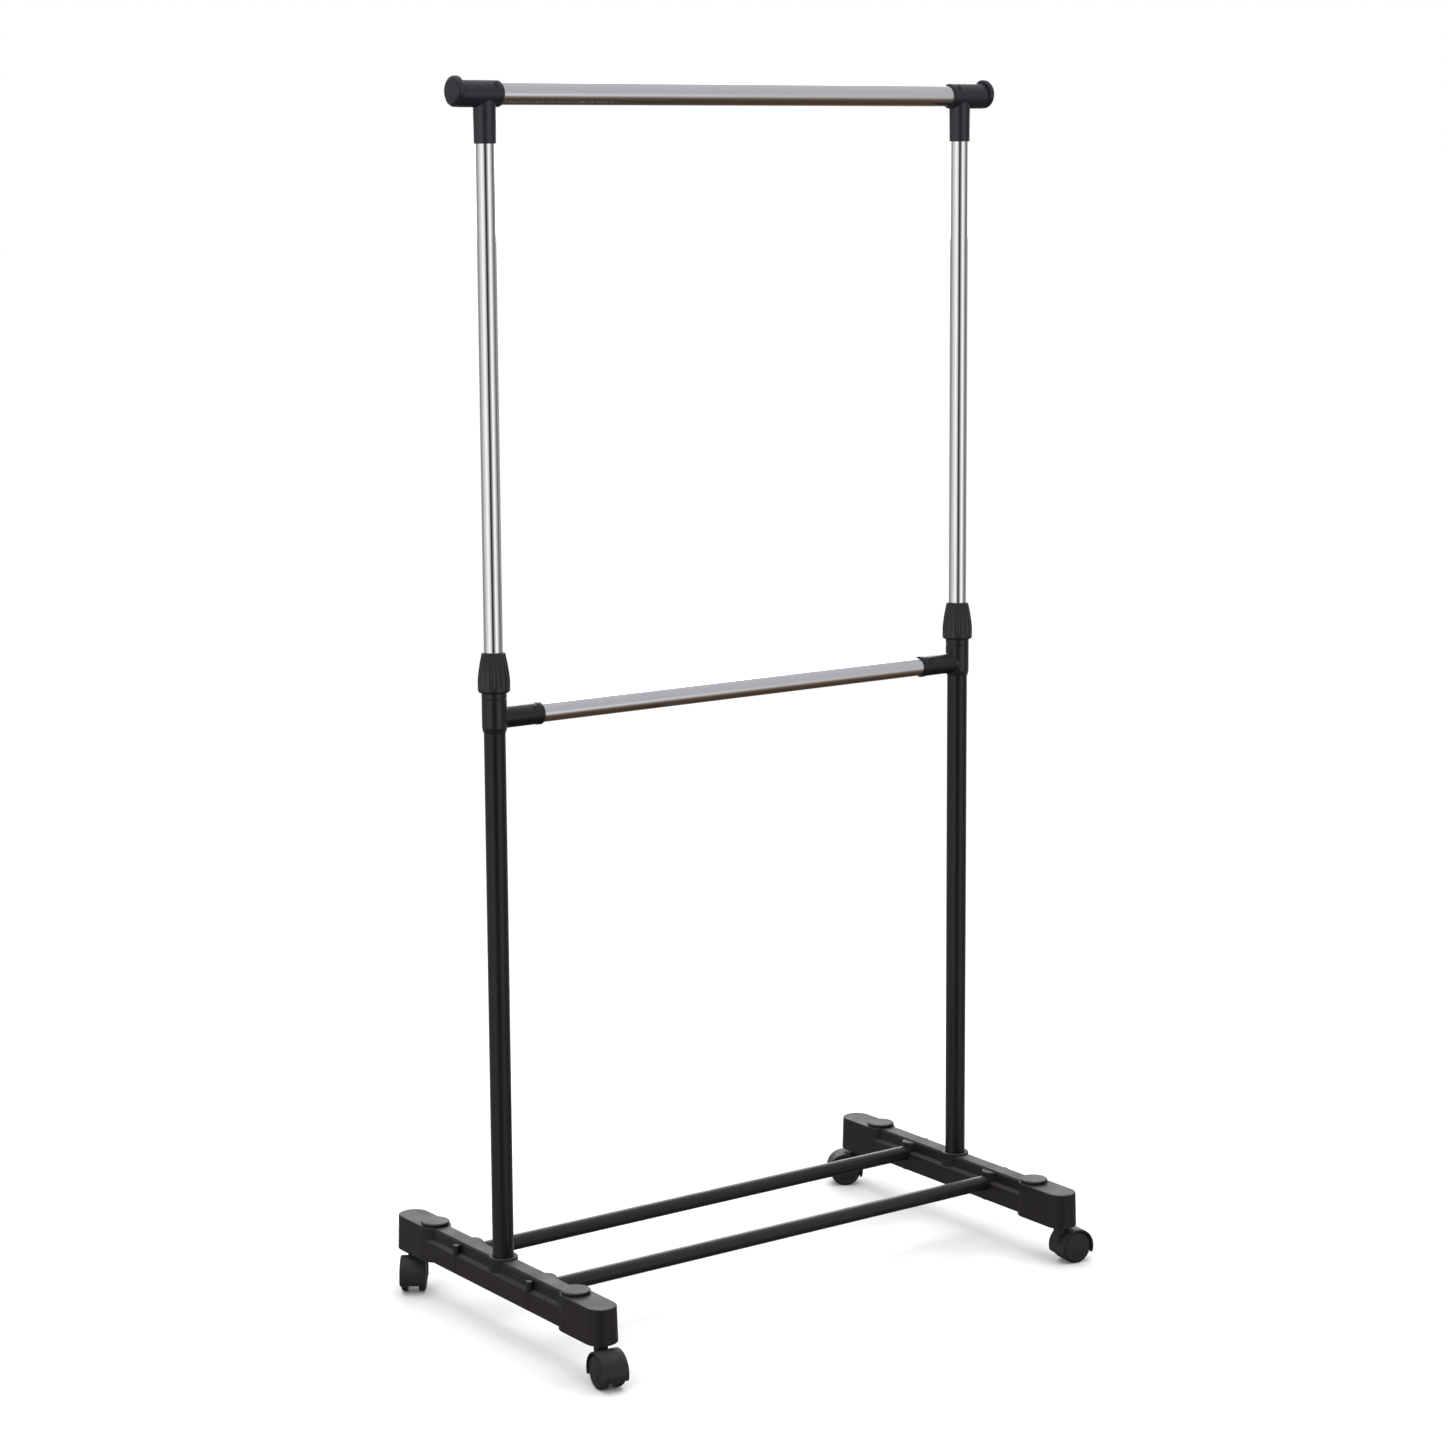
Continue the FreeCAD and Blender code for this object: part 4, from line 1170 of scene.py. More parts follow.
class Builder:
    """Makes each detailed piece and ties it to its CAD node, body and finish."""

    def __init__(self, frame: dict, finishes: Finishes) -> None:
        """Keeps what every piece needs.

        Args:
            frame: the loaded frame.
            finishes: the materials.
        """
        self.frame = frame
        self.finishes = finishes
        self.slot_of = {
            part["node"]: Slot(part["material_slot"]) for part in frame["record"]["subparts"]
        }
        self.body_of = {
            node: body
            for body, nodes in frame["record"]["behaviour"]["bodies"].items()
            for node in nodes
        }

    def finish(self, piece: bpy.types.Object, node: str) -> bpy.types.Object:
        """Gives a piece the finish, body and place in the frame of the node it stands for.

        Args:
            piece: the detailed piece.
            node: the CAD node.

        Returns:
            The piece.
        """
        slot = self.slot_of[node]
        piece.data.materials.clear()
        piece.data.materials.append(self.finishes.by_slot[slot])
        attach(piece, self.body_of[node])
        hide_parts(node)
        return piece

    def dress_cad_nodes(self) -> None:
        """Gives every CAD node its slot's material."""
        for node, obj in self.frame["nodes"].items():
            obj.data.materials.clear()
            obj.data.materials.append(self.finishes.by_slot[self.slot_of[node]])
            obj.data.shade_smooth()
            obj.data.set_sharp_from_angle(angle=math.radians(30))

    # -------------------------------------------------------------- tubes

    def upright_tube(self, node: str, radius: float) -> None:
        """Replaces an upright tube by a finely turned one.

        Args:
            node: the CAD node, whose box gives the tube's ends and axis.
            radius: the tube's outside radius, in millimetres.
        """
        low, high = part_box(node)
        centre = ((low.x + high.x) / 2 / MM, 0.0, 0.0)
        surface = Surface()
        profile = tube_profile(radius, radius - RACK.tube_wall, low.z / MM, high.z / MM)
        surface.lathe(profile, centre, hollow=True)
        self.finish(surface.build(f"{node}_tube"), node)

    def level_tube(self, node: str, radius: float, height: float, line: float = 0.0) -> None:
        """Replaces a tube along X by a finely turned one.

        Args:
            node: the CAD node, whose box gives the tube's ends.
            radius: the tube's outside radius, in millimetres.
            height: the axis's height, in millimetres.
            line: the axis's Y, in millimetres.
        """
        low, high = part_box(node)
        surface = Surface()
        profile = tube_profile(radius, radius - RACK.tube_wall, low.x / MM, high.x / MM)
        surface.lathe(profile, (0, line, height), Axis.x, hollow=True)
        self.finish(surface.build(f"{node}_tube"), node)

    def tubes(self) -> None:
        """Every post, rail and bar."""
        for side in Side:
            self.upright_tube(f"lower_post_{side.name}", RACK.post_radius)
            self.upright_tube(f"upper_post_{side.name}", RACK.slide_radius)
        self.level_tube("top_rail", RACK.rail_radius, RACK.top_rail)
        self.level_tube("mid_rail", RACK.mid_radius, RACK.mid_rail)
        for end in End:
            low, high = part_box(f"{end.name}_bar")
            height = (low.z + high.z) / 2 / MM
            line = end.value * FOOT.bar_offset
            self.level_tube(f"{end.name}_bar", RACK.bar_radius, height, line)

    # -------------------------------------------------------------- feet

    def foot(self, side: Side) -> None:
        """One foot: thin-walled beam and end blocks, socket, pillars, ribs and bosses.

        Args:
            side: which side.
        """
        surface = Surface()
        self._beam(surface)
        for end in End:
            self._end_block(surface, end)
            self._bar_pillar(surface, end)
        self._socket(surface)
        piece = surface.build(f"{side.name}_foot_moulding", side_matrix(side))
        self.finish(piece, f"{side.name}_foot")

    def _beam(self, surface: Surface) -> None:
        """The beam's thin-walled section, pulled along Y.

        Args:
            surface: where it goes.
        """
        wall = FOOT.wall
        outer = [
            (FOOT.skirt_half + 0.5, FOOT.beam_bottom, 0.5),
            (FOOT.skirt_half, FOOT.ledge, 1.4),
            (FOOT.recess_half + 0.6, FOOT.recess_floor, 1.2),
            (FOOT.recess_half, FOOT.recess_top, 0.8),
            (FOOT.strip_half, FOOT.top, 0.8),
        ]
        inner = [
            (FOOT.recess_half - wall, FOOT.top - wall - 1, 1.0),
            (FOOT.recess_half - wall, FOOT.ledge - wall, 1.0),
            (FOOT.skirt_half - wall, FOOT.ledge - wall - 1, 1.0),
            (FOOT.skirt_half - wall, FOOT.beam_bottom, 0.4),
        ]
        left = [(-x, z, r) for half in (outer, inner) for x, z, r in reversed(half)]
        section = rounded(outer + left + inner)
        # The Y axis's two directions across are Z and X, so the section is given as (Z, X).
        surface.extrude(section[:, ::-1], Axis.y, -FOOT.cap_offset, FOOT.cap_offset)

    def _end_block(self, surface: Surface, end: End) -> None:
        """A round-ended, slightly drafted block with a soft rim, open below, and its boss.

        Args:
            surface: where it goes.
            end: which end.
        """
        centres = sorted((end.value * FOOT.cap_offset, end.value * FOOT.end_offset))
        rim = 1.4
        roof = FOOT.top - FOOT.wall
        cavity = FOOT.end_radius - FOOT.wall - 1.0
        turn = np.linspace(0, math.pi / 2, 6)
        radius_top = FOOT.end_radius - 2 * FOOT.draft
        levels = [(cavity, roof), (cavity, FOOT.bottom), (FOOT.end_radius - 0.4, FOOT.bottom)]
        levels += [(FOOT.end_radius, FOOT.bottom + 0.4)]
        levels += [
            (radius_top - rim + rim * math.cos(a), FOOT.top - rim + rim * math.sin(a))
            for a in turn
        ]
        rings = []
        for radius, height in levels:
            outline = slot_outline(*centres, radius)
            rings.append(np.column_stack([outline, np.full(len(outline), height)]))
        surface.shell(np.stack(rings))
        boss_top = FOOT.top - 1.2
        boss = [
            (FOOT.sleeve_radius, FOOT.bottom, 0.3),
            (FOOT.boss_radius, FOOT.bottom, 0.5),
            (FOOT.boss_radius, boss_top, 0.0),
            (FOOT.sleeve_radius, boss_top, 0.0),
        ]
        centre = (0, end.value * FOOT.end_offset, 0)
        surface.lathe(rounded(boss, steps=3), centre, segments=COARSE, hollow=True)

    def _bar_pillar(self, surface: Surface, end: End) -> None:
        """The pillar that takes a bar's end, and the half-round rib on the outer side.

        Args:
            surface: where they go.
            end: which bar.
        """
        line = end.value * FOOT.bar_offset
        shapes = [
            (FOOT.pillar_offset, FOOT.pillar_radius, FOOT.beam_bottom, FOOT.pillar_top, 2.2),
            (-FOOT.rib_offset, FOOT.rib_radius, FOOT.beam_bottom + 1.5, FOOT.rib_top, 1.6),
        ]
        for offset, radius, low, high, rim in shapes:
            profile = pin_profile(radius, low, high, 0.4, rim, steps=6)
            surface.lathe(profile, (offset, line, 0), segments=COARSE)

    def _socket(self, surface: Surface) -> None:
        """The round socket that the post stands in, with its rim proud of the foot.

        Args:
            surface: where it goes.
        """
        bore = RACK.post_radius + RACK.fit
        wall = [
            (bore, FOOT.socket_floor, 0.0),
            (FOOT.bolt_hole, FOOT.socket_floor, 0.0),
            (FOOT.bolt_hole, FOOT.bolt_seat, 0.3),
            (FOOT.bolt_recess, FOOT.bolt_seat, 0.0),
            (FOOT.bolt_recess, FOOT.beam_bottom, 0.4),
            (FOOT.socket_radius, FOOT.beam_bottom, 0.5),
            (FOOT.socket_radius, FOOT.socket_rim, 1.1),
            (bore, FOOT.socket_rim, 0.7),
        ]
        surface.lathe(rounded(wall), hollow=True)

    def foot_cap(self, side: Side, end: End) -> None:
        """A disc cap, softly crowned, on a neck that leaves a shadow gap.

        Args:
            side: which foot.
            end: which end of it.
        """
        node = f"{side.name}_foot_{end.name}_cap"
        low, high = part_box(node)
        under = FOOT.top + FOOT.cap_gap
        top = high.z / MM
        crown = [(0, top, 0), (11, top - 0.06, 0), (16.2, top - 0.4, 1.0)]
        rim = [(FOOT.cap_radius, top - 1.4, 0.9), (FOOT.cap_radius, under, 0.5)]
        neck = [(FOOT.cap_neck, under, 0.0), (FOOT.cap_neck, low.z / MM, 0.5)]
        surface = Surface()
        place = (side.value * RACK.post_spacing / 2, end.value * FOOT.cap_offset, 0)
        surface.lathe(solid_profile(crown + rim + neck + [(0, low.z / MM, 0)]), place)
        self.finish(surface.build(f"{node}_disc"), node)

    # -------------------------------------------------------------- fittings

    def _junction(self, surface: Surface, barrel: float, branch: float, blend: float) -> None:
        """A fillet where a branch along +X leaves a barrel along Z.

        Both skins meet where x = sqrt(barrel^2 - (branch * cos a)^2). The fillet runs from a ring
        on the branch, one blend further out, to a ring on the barrel, one blend further round,
        along a quadratic curve whose middle control point is the meeting point itself.

        Args:
            surface: where it goes.
            barrel: the barrel's radius.
            branch: the branch's radius.
            blend: the fillet's reach.
        """
        angles = np.linspace(0, 2 * math.pi, FINE, endpoint=False)
        across, up = np.cos(angles), np.sin(angles)
        meet_x = np.sqrt(np.maximum(barrel**2 - (branch * across) ** 2, 0.0))
        meet = np.stack([meet_x, branch * across, branch * up], axis=1)
        outward = meet + np.array([blend, 0, 0])
        wide = np.minimum((branch + blend) * np.abs(across), barrel * 0.999) * np.sign(across)
        on_barrel = np.stack(
            [np.sqrt(barrel**2 - wide**2), wide, (branch + blend) * up], axis=1
        )
        t = np.linspace(0, 1, 7)[:, None, None]
        curve = (1 - t) ** 2 * outward + 2 * t * (1 - t) * meet + t**2 * on_barrel
        inner = curve[::-1] * 0.97
        surface.grid(np.concatenate([curve, inner]), close_rows=True)

    def mid_tee(self, side: Side) -> None:
        """A middle tee: seamed barrel, chamfered foot, branch with an end ring.

        Args:
            side: which side.
        """
        node = f"mid_tee_{side.name}"
        bore = RACK.post_radius + RACK.fit
        seam = TEE.barrel_above - 7
        neck_top = TEE.barrel_above + TEE.neck_height
        barrel = [
            (bore, -TEE.barrel_below, 0.2),
            (RACK.post_radius + 0.8, -TEE.barrel_below, 0.3),
            (TEE.barrel, TEE.chamfer - TEE.barrel_below, 1.5),
            (TEE.barrel, seam - 0.55, 0.2),
            (TEE.barrel - 0.5, seam, 0.2),
            (TEE.barrel, seam + 0.55, 0.2),
            (TEE.barrel, TEE.barrel_above, 0.6),
            (TEE.neck, TEE.barrel_above, 0.2),
            (TEE.neck, TEE.barrel_above + TEE.neck_straight, 0.3),
            (TEE.neck_end, neck_top, 0.3),
            (RACK.slide_radius + TEE.slip, neck_top, 0.2),
            (RACK.slide_radius + TEE.slip, TEE.throat, 0.0),
            (bore, TEE.bore_end, 0.0),
        ]
        # The root follows the barrel's wall, so it needs rings between its hole and its skin.
        root_rings = (TEE.stop_hole, 6.0, 8.0, 9.5, 11.0, 12.0, TEE.branch)
        branch = [
            (RACK.mid_radius + RACK.fit, TEE.rail_stop, 0.0),
            (TEE.stop_hole, TEE.rail_stop, 0.0),
            *((radius, TEE.branch_root, 0.0) for radius in root_rings),
            (TEE.branch, TEE.branch_end - TEE.ring_width - 0.8, 0.6),
            (TEE.branch_ring, TEE.branch_end - TEE.ring_width, 0.6),
            (TEE.branch_ring, TEE.branch_end, 0.9),
            (RACK.mid_radius + RACK.fit, TEE.branch_end, 0.4),
        ]
        surface = Surface()
        surface.lathe(rounded(barrel), hollow=True)
        wall_middle = (RACK.post_radius + TEE.barrel) / 2
        surface.lathe(rounded(branch), axis=Axis.x, hollow=True, saddle=wall_middle)
        self._junction(surface, TEE.barrel, TEE.branch, 1.6)
        self.finish(surface.build(f"{node}_moulding", side_matrix(side, RACK.mid_rail)), node)

    def top_tee(self, side: Side) -> None:
        """A top tee: stem up the post, barrel along the rail.

        Args:
            side: which side.
        """
        node = f"top_tee_{side.name}"
        stem_bore = RACK.slide_radius + RACK.fit
        head_bore = RACK.rail_radius + RACK.fit
        root_rings = (TEE.stem + TEE.stem_swell, 12.9, 12.4, 11.8, stem_bore)
        stem = [
            (stem_bore, -TEE.stem_below, 0.4),
            (TEE.stem, -TEE.stem_below, 0.9),
            *((radius, TEE.stem_root, 0.0) for radius in root_rings),
        ]
        head = [
            (head_bore, -TEE.head_outer, 0.3),
            (TEE.head, -TEE.head_outer, 0.6),
            (TEE.head, TEE.head_inner - 2.4, 2.0),
            (TEE.head - 0.8, TEE.head_inner - 0.7, 1.0),
            (TEE.head - 2.4, TEE.head_inner, 0.1),
            (head_bore, TEE.head_inner, 0.0),
        ]
        surface = Surface()
        wall_middle = (RACK.rail_radius + TEE.head) / 2
        surface.lathe(rounded(stem), hollow=True, saddle=wall_middle)
        surface.lathe(rounded(head), axis=Axis.x, hollow=True)
        self.finish(surface.build(f"{node}_moulding", side_matrix(side, RACK.top_rail)), node)

    def lock_nut(self, side: Side) -> None:
        """The lock nut: a barrel-shaped taper with shallow scooped flutes.

        The outer radius is r(z) - depth * fade(z) * scoop(a), where scoop is the positive part of
        a cosine with one period per flute, squared, and fade brings it in above the foot rim and
        out below the top rim.

        Args:
            side: which side.
        """
        node = f"lock_nut_{side.name}"
        taper_end = TEE.nut_height - TEE.nut_top_rim
        heights = np.linspace(TEE.nut_foot_rim, taper_end, 44)
        taper = TEE.nut_height - TEE.nut_straight
        share = np.clip((heights - TEE.nut_straight) / taper, 0, 1)
        fall = 0.22 * share + 0.78 * share**1.55
        radii = TEE.nut_radius - (TEE.nut_radius - TEE.nut_top) * fall
        skin = np.stack([radii, heights], axis=1)
        bore = RACK.slide_radius + TEE.slip
        foot_rim = rounded(
            [
                (TEE.nut_recess, TEE.nut_recess_height, 0),
                (TEE.nut_recess, 0, 0.3),
                (TEE.nut_radius - 1.0, 0, 0.6),
                (TEE.nut_radius, TEE.nut_foot_rim, 0),
            ],
            closed=False,
        )[:-1]
        top_rim = rounded(
            [
                (TEE.nut_top, taper_end, 0),
                (TEE.nut_top - 0.6, TEE.nut_height, 0.4),
                (bore, TEE.nut_height, 0.4),
                (bore, TEE.nut_height - 8, 0),
            ],
            closed=False,
        )[1:]
        profile = np.concatenate([foot_rim, skin, top_rim])

        def fluted(points: np.ndarray, angles: np.ndarray) -> np.ndarray:
            """Scoops the flutes out of the outer skin.

            Args:
                points: radius and height of each row.
                angles: the angle of each column.

            Returns:
                The radius of each point.
            """
            radius, height = points[:, :1], points[:, 1:]
            outer = radius > 13
            fade_in = np.clip((height - 3) / 6, 0, 1)
            fade_out = np.clip((TEE.nut_height - 0.2 - height) / 2.5, 0, 1)
            fade = fade_in * fade_out
            fade = fade * fade * (3 - 2 * fade)
            wave = np.maximum(np.cos(TEE.flutes * angles + math.pi), -0.25) + 0.25
            scoop = (wave / 1.25) ** 1.3
            return radius - outer * TEE.flute_depth * fade * scoop[None, :]

        surface = Surface()
        surface.lathe(profile, segments=TEE.flutes * 16, hollow=True, shape=fluted)
        lift = RACK.mid_rail + TEE.barrel_above + TEE.nut_lift
        self.finish(surface.build(f"{node}_grip", side_matrix(side, lift), crease=40), node)

    def rail_end_cap(self, side: Side) -> None:
        """The hanging rail's eccentric, round-edged stop disc.

        Args:
            side: which side.
        """
        node = f"rail_end_cap_{side.name}"
        near = -(TEE.head_outer + TEE.cap_gap)
        far = near - TEE.cap_thickness
        disc = solid_profile(
            [
                (0, near, 0),
                (TEE.cap_radius, near, 1.2),
                (TEE.cap_radius, near - 0.5 * TEE.cap_thickness, 2.0),
                (TEE.cap_radius - 1.2, far + 2.1, 2.6),
                (TEE.cap_radius - 4.2, far + 0.35, 3.5),
                (0, far, 0),
            ],
            steps=7,
        )
        plug = pin_profile(TEE.plug_radius, near - 1, near + TEE.plug_length, 0, 1)
        surface = Surface()
        surface.lathe(disc, (0, 0, TEE.cap_rise), Axis.x)
        surface.lathe(plug, axis=Axis.x, segments=COARSE)
        self.finish(surface.build(f"{node}_disc", side_matrix(side, RACK.top_rail)), node)

    # -------------------------------------------------------------- casters

    def caster(self, side: Side, end: End) -> None:
        """One caster: hood, swivel stem and both wheels.

        Args:
            side: which foot.
            end: which end of it.
        """
        base = f"caster_{side.name}_{end.name}"
        swivel = Vector((side.value * RACK.post_spacing / 2, end.value * FOOT.end_offset, 0)) * MM
        turn = Matrix.Rotation(math.radians(HEADINGS[(side, end)]), 4, "Z")
        place = Matrix.Translation(swivel) @ turn
        self.finish(self._hood(f"{base}_hood_moulding", place), f"{base}_hood")
        self.finish(self._stem(f"{base}_stem_pin", place), f"{base}_stem")
        for name, sign in (("outer", 1), ("inner", -1)):
            # The CAD model's outer wheel lies at -Y of the unturned caster.
            wheel = self._wheel(f"{base}_{name}_tyre", place, -sign)
            self.finish(wheel, f"{base}_{name}_wheel")

    def _hood(self, name: str, place: Matrix) -> bpy.types.Object:
        """The hood: a rounded band over the wheels, a web between them and the swivel boss.

        Args:
            name: the piece's name.
            place: where the caster goes.

        Returns:
            The piece.
        """
        drop = CASTER.wheel_radius - CASTER.hood_skirt
        share = np.linspace(0, 1, 72)[:, None]
        half, outer = CASTER.hood_half_width, CASTER.hood_radius
        inner = outer - CASTER.hood_wall
        section = rounded(
            [(inner, -half, 0.5), (outer, -half, 2.2), (outer, half, 2.2), (inner, half, 0.5)]
        )
        radii, along = section[None, :, 0], section[None, :, 1] + 0 * share
        reach = np.arcsin(drop / radii)
        angles = share * (math.pi + 2 * reach) - reach
        band = np.stack(
            [
                CASTER.trail + radii * np.cos(angles),
                along,
                CASTER.wheel_radius + radii * np.sin(angles),
            ],
            axis=-1,
        )
        surface = Surface()
        surface.shell(band)
        web_radius = outer - 0.6
        reach = math.asin(drop / web_radius)
        angles = np.linspace(-reach, math.pi + reach, 72)
        chord = np.stack([web_radius * np.sin(angles), web_radius * np.cos(angles)], axis=1)
        chord = chord + np.array([CASTER.wheel_radius, CASTER.trail])
        surface.extrude(chord, Axis.y, -CASTER.web_half_width, CASTER.web_half_width)
        clearance = CASTER.wheel_radius + CASTER.wheel_gap
        inner_side = CASTER.trail - CASTER.boss_radius
        step = CASTER.wheel_radius + math.sqrt(clearance**2 - inner_side**2) - 0.6
        for low, high, across in (
            (step, CASTER.boss_top, CASTER.boss_radius),
            (CASTER.boss_bottom, step + 1, CASTER.web_half_width),
        ):
            boss = pin_profile(CASTER.boss_radius, low, high, 0.8, 0.8)
            surface.lathe(boss, segments=COARSE, shape=FlatSided(across))
        return surface.build(name, place)

    def _stem(self, name: str, place: Matrix) -> bpy.types.Object:
        """The steel swivel stem with its flange.

        Args:
            name: the piece's name.
            place: where the caster goes.

        Returns:
            The piece.
        """
        pin, flange, groove = CASTER.stem_radius, CASTER.flange_radius, CASTER.groove_radius
        profile = solid_profile(
            [
                (0, CASTER.stem_bottom, 0),
                (pin, CASTER.stem_bottom, 0.4),
                (pin, CASTER.boss_top, 0),
                (flange, CASTER.boss_top, 0.3),
                (flange, CASTER.flange_top, 0.4),
                (pin, CASTER.flange_top, 0),
                (pin, CASTER.groove_low, 0.2),
                (groove, CASTER.groove_low, 0),
                (groove, CASTER.groove_high, 0),
                (pin, CASTER.groove_high, 0.2),
                (pin, CASTER.stem_top, 1.2),
                (0, CASTER.stem_top, 0),
            ],
            steps=3,
        )
        surface = Surface()
        surface.lathe(profile, segments=COARSE)
        return surface.build(name, place)

    def _wheel(self, name: str, place: Matrix, sign: int) -> bpy.types.Object:
        """A wheel: soft-shouldered tread, domed face with a shallow dish and a hub, blind bore.

        Args:
            name: the piece's name.
            place: where the caster goes.
            sign: on which side of the web it lies.

        Returns:
            The piece.
        """
        outer, inner, radius = CASTER.wheel_outer, CASTER.wheel_inner, CASTER.wheel_radius
        profile = [
            (0, outer, 0),
            (6, outer - 0.3, 0.5),
            (6.6, outer - 1, 0.4),
            (14.4, outer - 2.1, 0.5),
            (15.1, outer - 1.6, 0.4),
            (radius - 1.8, outer - 2.3, 1.4),
            (radius, outer - 4.4, 1.6),
            (radius, inner + 0.9, 0.8),
            (radius - 1.4, inner + 0.3, 0.4),
            (CASTER.hub_radius, inner + 0.3, 0.2),
            (CASTER.hub_radius, inner, 0.3),
            (CASTER.axle_bore, inner, 0.2),
            (CASTER.axle_bore, CASTER.axle_bore_end, 0),
            (0, CASTER.axle_bore_end, 0),
        ]
        turned = solid_profile(profile)
        turned[:, 1] *= sign
        surface = Surface()
        surface.lathe(turned, (CASTER.trail, 0, radius), Axis.y, segments=FINE)
        return surface.build(name, place)

    def build_all(self) -> None:
        """Every detailed piece, then the finish of what stays as CAD made it."""
        self.tubes()
        for side in Side:
            self.foot(side)
            self.mid_tee(side)
            self.top_tee(side)
            self.lock_nut(side)
            self.rail_end_cap(side)
            for end in End:
                self.foot_cap(side, end)
                self.caster(side, end)
        self.dress_cad_nodes()
        log.info("built %d meshes", len(bpy.data.meshes))


# ------------------------------------------------------------------ studio


@dataclass(frozen=True)
class View:
    """The camera's place and lens."""

    position: tuple[float, float, float] = (-2.383, -3.271, 1.399)
    azimuth: float = 35.84
    pitch: float = 8.53
    roll: float = -0.35
    lens: float = 83.24
    lift: float = -0.05


VIEW = View()


def make_camera(view: View) -> None:
    """Sets the camera up.

    Args:
        view: its place and lens.
    """
    data = bpy.data.cameras.new("camera")
    data.lens = view.lens
    data.sensor_width = 36.0
    data.shift_y = view.lift
    data.clip_start, data.clip_end = 0.1, 100.0
    azimuth, pitch, roll = (math.radians(v) for v in (view.azimuth, view.pitch, view.roll))
    level = math.cos(pitch)
    forward = Vector((math.sin(azimuth) * level, math.cos(azimuth) * level, -math.sin(pitch)))
    right = Vector((math.cos(azimuth), -math.sin(azimuth), 0))
    up = right.cross(forward)
    turned_right = right * math.cos(roll) + up * math.sin(roll)
    turned_up = up * math.cos(roll) - right * math.sin(roll)
    rotation = Matrix((turned_right, turned_up, -forward)).transposed().to_4x4()
    camera = bpy.data.objects.new("camera", data)
    camera.matrix_world = Matrix.Translation(Vector(view.position)) @ rotation
    bpy.context.scene.collection.objects.link(camera)
    bpy.context.scene.camera = camera


def make_floor() -> None:
    """A plain pale floor that fades into the surroundings."""
    mesh = bpy.data.meshes.new("floor")
    reach = 40.0
    corners = [(-reach, -reach, 0), (reach, -reach, 0), (reach, reach, 0), (-reach, reach, 0)]
    mesh.from_pydata(corners, [], [[0, 1, 2, 3]])
    floor = bpy.data.objects.new("floor", mesh)
    bpy.context.scene.collection.objects.link(floor)
    material = bpy.data.materials.new("floor_finish")
    material.use_nodes = True
    tree = material.node_tree
    shader = tree.nodes["Principled BSDF"]
    place = add_node(tree, "ShaderNodeTexCoord").outputs["Object"]
    distance = add_node(tree, "ShaderNodeVectorMath", operation="LENGTH")
    tree.links.new(place, distance.inputs[0])
    fade = map_range(tree, distance.outputs["Value"], (0.7, 2.4), curve="SMOOTHSTEP")
    pale = ramp(tree, fade, [(0.0, (0.9, 0.9, 0.9)), (1.0, (0.0, 0.0, 0.0))])
    set_up(
        tree,
        shader,
        Base_Color=pale,
        Emission_Strength=fade,
        Emission_Color=(1.0, 1.0, 1.0, 1.0),
        Roughness=0.9,
        Specular_IOR_Level=0.1,
    )
    mesh.materials.append(material)
    floor.visible_glossy = False


WORLD_STRENGTH = 1.1
FLOOR_EDGE = (-0.36, -0.2)
CEILING_EDGE = (0.04, 0.15)
WALLS = (
    (0.0, 0.32),
    (0.1, 0.25),
    (0.147, 0.25),
    (0.209, 0.33),
    (0.25, 0.5),
    (0.3, 0.64),
    (0.337, 0.76),
    (0.375, 1.0),
    (0.411, 0.87),
    (0.446, 0.64),
    (0.473, 0.32),
    (0.488, 0.03),
    (0.53, 0.03),
    (0.548, 0.22),
    (0.582, 0.46),
    (0.612, 1.0),
    (0.65, 0.9),
    (0.695, 0.54),
    (0.732, 0.26),
    (0.78, 0.11),
    (0.84, 0.3),
    (1.0, 0.32),
)
BELOW = (
    (0.0, (0.05, 0.034, 0.022)),
    (0.1, (0.055, 0.038, 0.024)),
    (0.19, (0.09, 0.062, 0.048)),
    (0.25, (0.145, 0.112, 0.1)),
    (0.3, (0.26, 0.222, 0.21)),
    (0.36, (0.4, 0.37, 0.35)),
    (0.42, (0.52, 0.51, 0.5)),
)
ABOVE = (
    (0.0, (0.5, 0.51, 0.54)),
    (0.16, (0.46, 0.465, 0.49)),
    (0.3, (0.42, 0.425, 0.45)),
    (0.7, (0.42, 0.425, 0.45)),
    (0.84, (0.46, 0.465, 0.49)),
    (1.0, (0.5, 0.51, 0.54)),
)


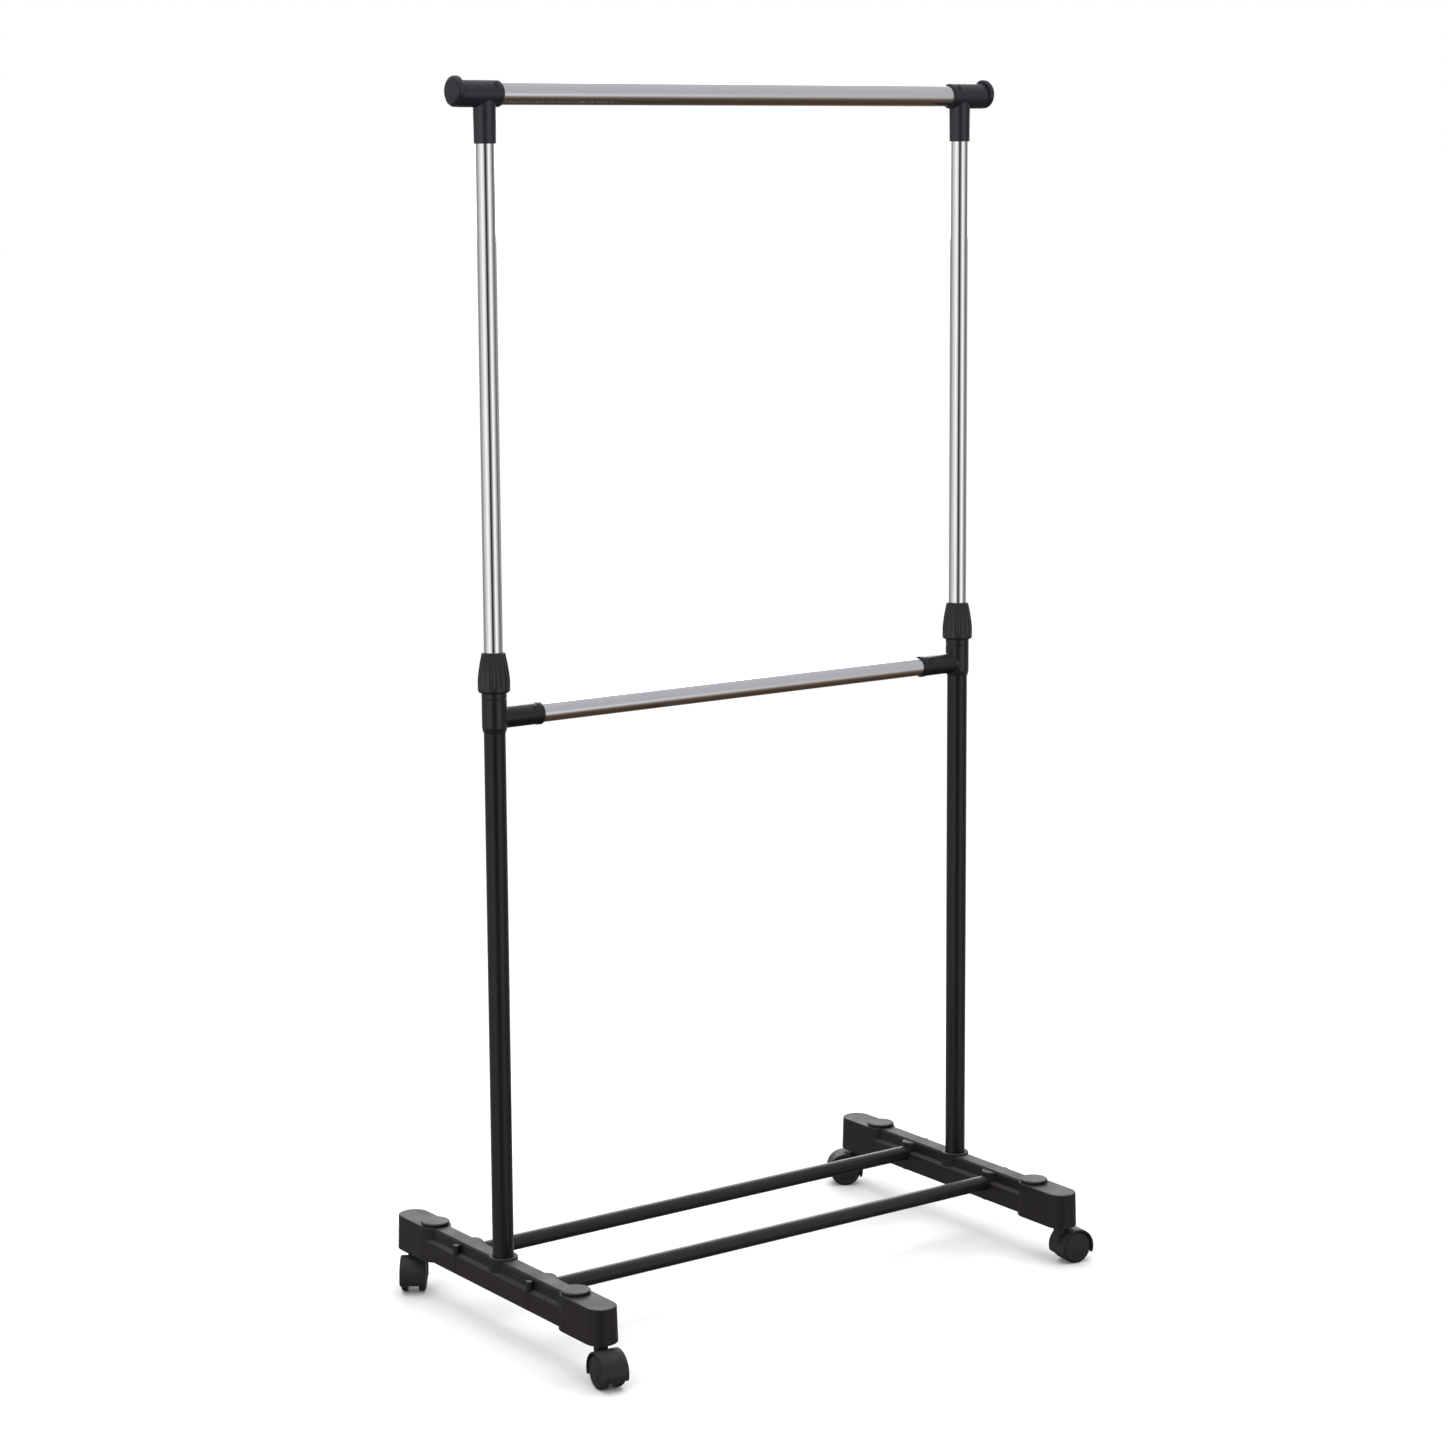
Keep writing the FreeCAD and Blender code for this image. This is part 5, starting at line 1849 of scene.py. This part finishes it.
def make_world() -> None:
    """Soft studio surroundings in three zones that blend by height.

    The walls at eye level follow a ramp round the rack, with a bright wall on each side of a dark
    gap. The ground below follows a ramp by height, and the ceiling above one round the rack.
    """
    world = bpy.data.worlds.new("studio")
    bpy.context.scene.world = world
    world.use_nodes = True
    tree = world.node_tree
    background = tree.nodes["Background"]
    direction = add_node(tree, "ShaderNodeTexCoord").outputs["Generated"]
    parts = add_node(tree, "ShaderNodeSeparateXYZ", Vector=direction)
    azimuth = math.radians(VIEW.azimuth)
    sideways = calculate(
        tree,
        "SUBTRACT",
        calculate(tree, "MULTIPLY", parts.outputs["X"], math.cos(azimuth)),
        calculate(tree, "MULTIPLY", parts.outputs["Y"], math.sin(azimuth)),
    )
    towards = calculate(
        tree,
        "ADD",
        calculate(tree, "MULTIPLY", parts.outputs["X"], -math.sin(azimuth)),
        calculate(tree, "MULTIPLY", parts.outputs["Y"], -math.cos(azimuth)),
    )
    angle = calculate(tree, "ARCTAN2", sideways, towards)
    share = calculate(tree, "ADD", calculate(tree, "DIVIDE", angle, 2 * math.pi), 0.5)
    around = ramp(tree, share, [(place, (tone, tone, tone)) for place, tone in WALLS])
    height = calculate(tree, "MULTIPLY_ADD", parts.outputs["Z"], 0.5)
    height.node.inputs[2].default_value = 0.5
    below = ramp(tree, height, BELOW)
    above = ramp(tree, share, ABOVE)
    walls = mix_colours(
        tree, map_range(tree, parts.outputs["Z"], FLOOR_EDGE, curve="SMOOTHSTEP"), below, around
    )
    room = mix_colours(
        tree, map_range(tree, parts.outputs["Z"], CEILING_EDGE, curve="SMOOTHSTEP"), walls, above
    )
    seen = add_node(tree, "ShaderNodeLightPath").outputs["Is Camera Ray"]
    chosen = mix_colours(tree, seen, room, (1 / WORLD_STRENGTH,) * 3)
    tree.links.new(chosen, background.inputs["Color"])
    background.inputs["Strength"].default_value = WORLD_STRENGTH


@dataclass(frozen=True)
class Softbox:
    """One area light, aimed at the middle of the rack."""

    name: str
    position: tuple[float, float, float]
    size: tuple[float, float]
    power: float
    aim: tuple[float, float, float] = (0.0, 0.0, 0.7)
    reflected: bool = False


SOFTBOXES = (
    Softbox("overhead", (0.0, 0.3, 4.6), (5.0, 5.0), 190.0),
    Softbox("left", (-3.6, -1.4, 2.4), (1.6, 3.0), 60.0),
    Softbox("right", (2.6, -3.4, 2.2), (1.4, 2.6), 45.0),
    Softbox("rear", (2.5, 3.45, 1.95), (4.4, 1.7), 85.0, (0.0, 0.0, 0.1), reflected=True),
)


def make_lights() -> None:
    """Places the soft lights."""
    for box in SOFTBOXES:
        data = bpy.data.lights.new(box.name, "AREA")
        data.shape = "RECTANGLE"
        data.size, data.size_y = box.size
        data.energy = box.power
        light = bpy.data.objects.new(box.name, data)
        aim = Vector(box.aim) - Vector(box.position)
        light.location = box.position
        light.rotation_mode = "QUATERNION"
        light.rotation_quaternion = aim.to_track_quat("-Z", "Y")
        light.visible_camera = False
        light.visible_glossy = box.reflected
        bpy.context.scene.collection.objects.link(light)


def clear_scene() -> None:
    """Removes whatever the program starts with, so that only the rack is in the scene."""
    for obj in list(bpy.data.objects):
        bpy.data.objects.remove(obj, do_unlink=True)


def main() -> None:
    """Loads the frame, builds the detailed rack and its studio."""
    logging.basicConfig(format="%(name)s: %(message)s")
    log.setLevel(logging.INFO)
    clear_scene()
    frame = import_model()
    builder = Builder(frame, Finishes())
    builder.build_all()
    make_floor()
    make_world()
    make_lights()
    make_camera(VIEW)
    bpy.context.scene.view_settings.view_transform = "Standard"


if __name__ == "__main__":
    main()
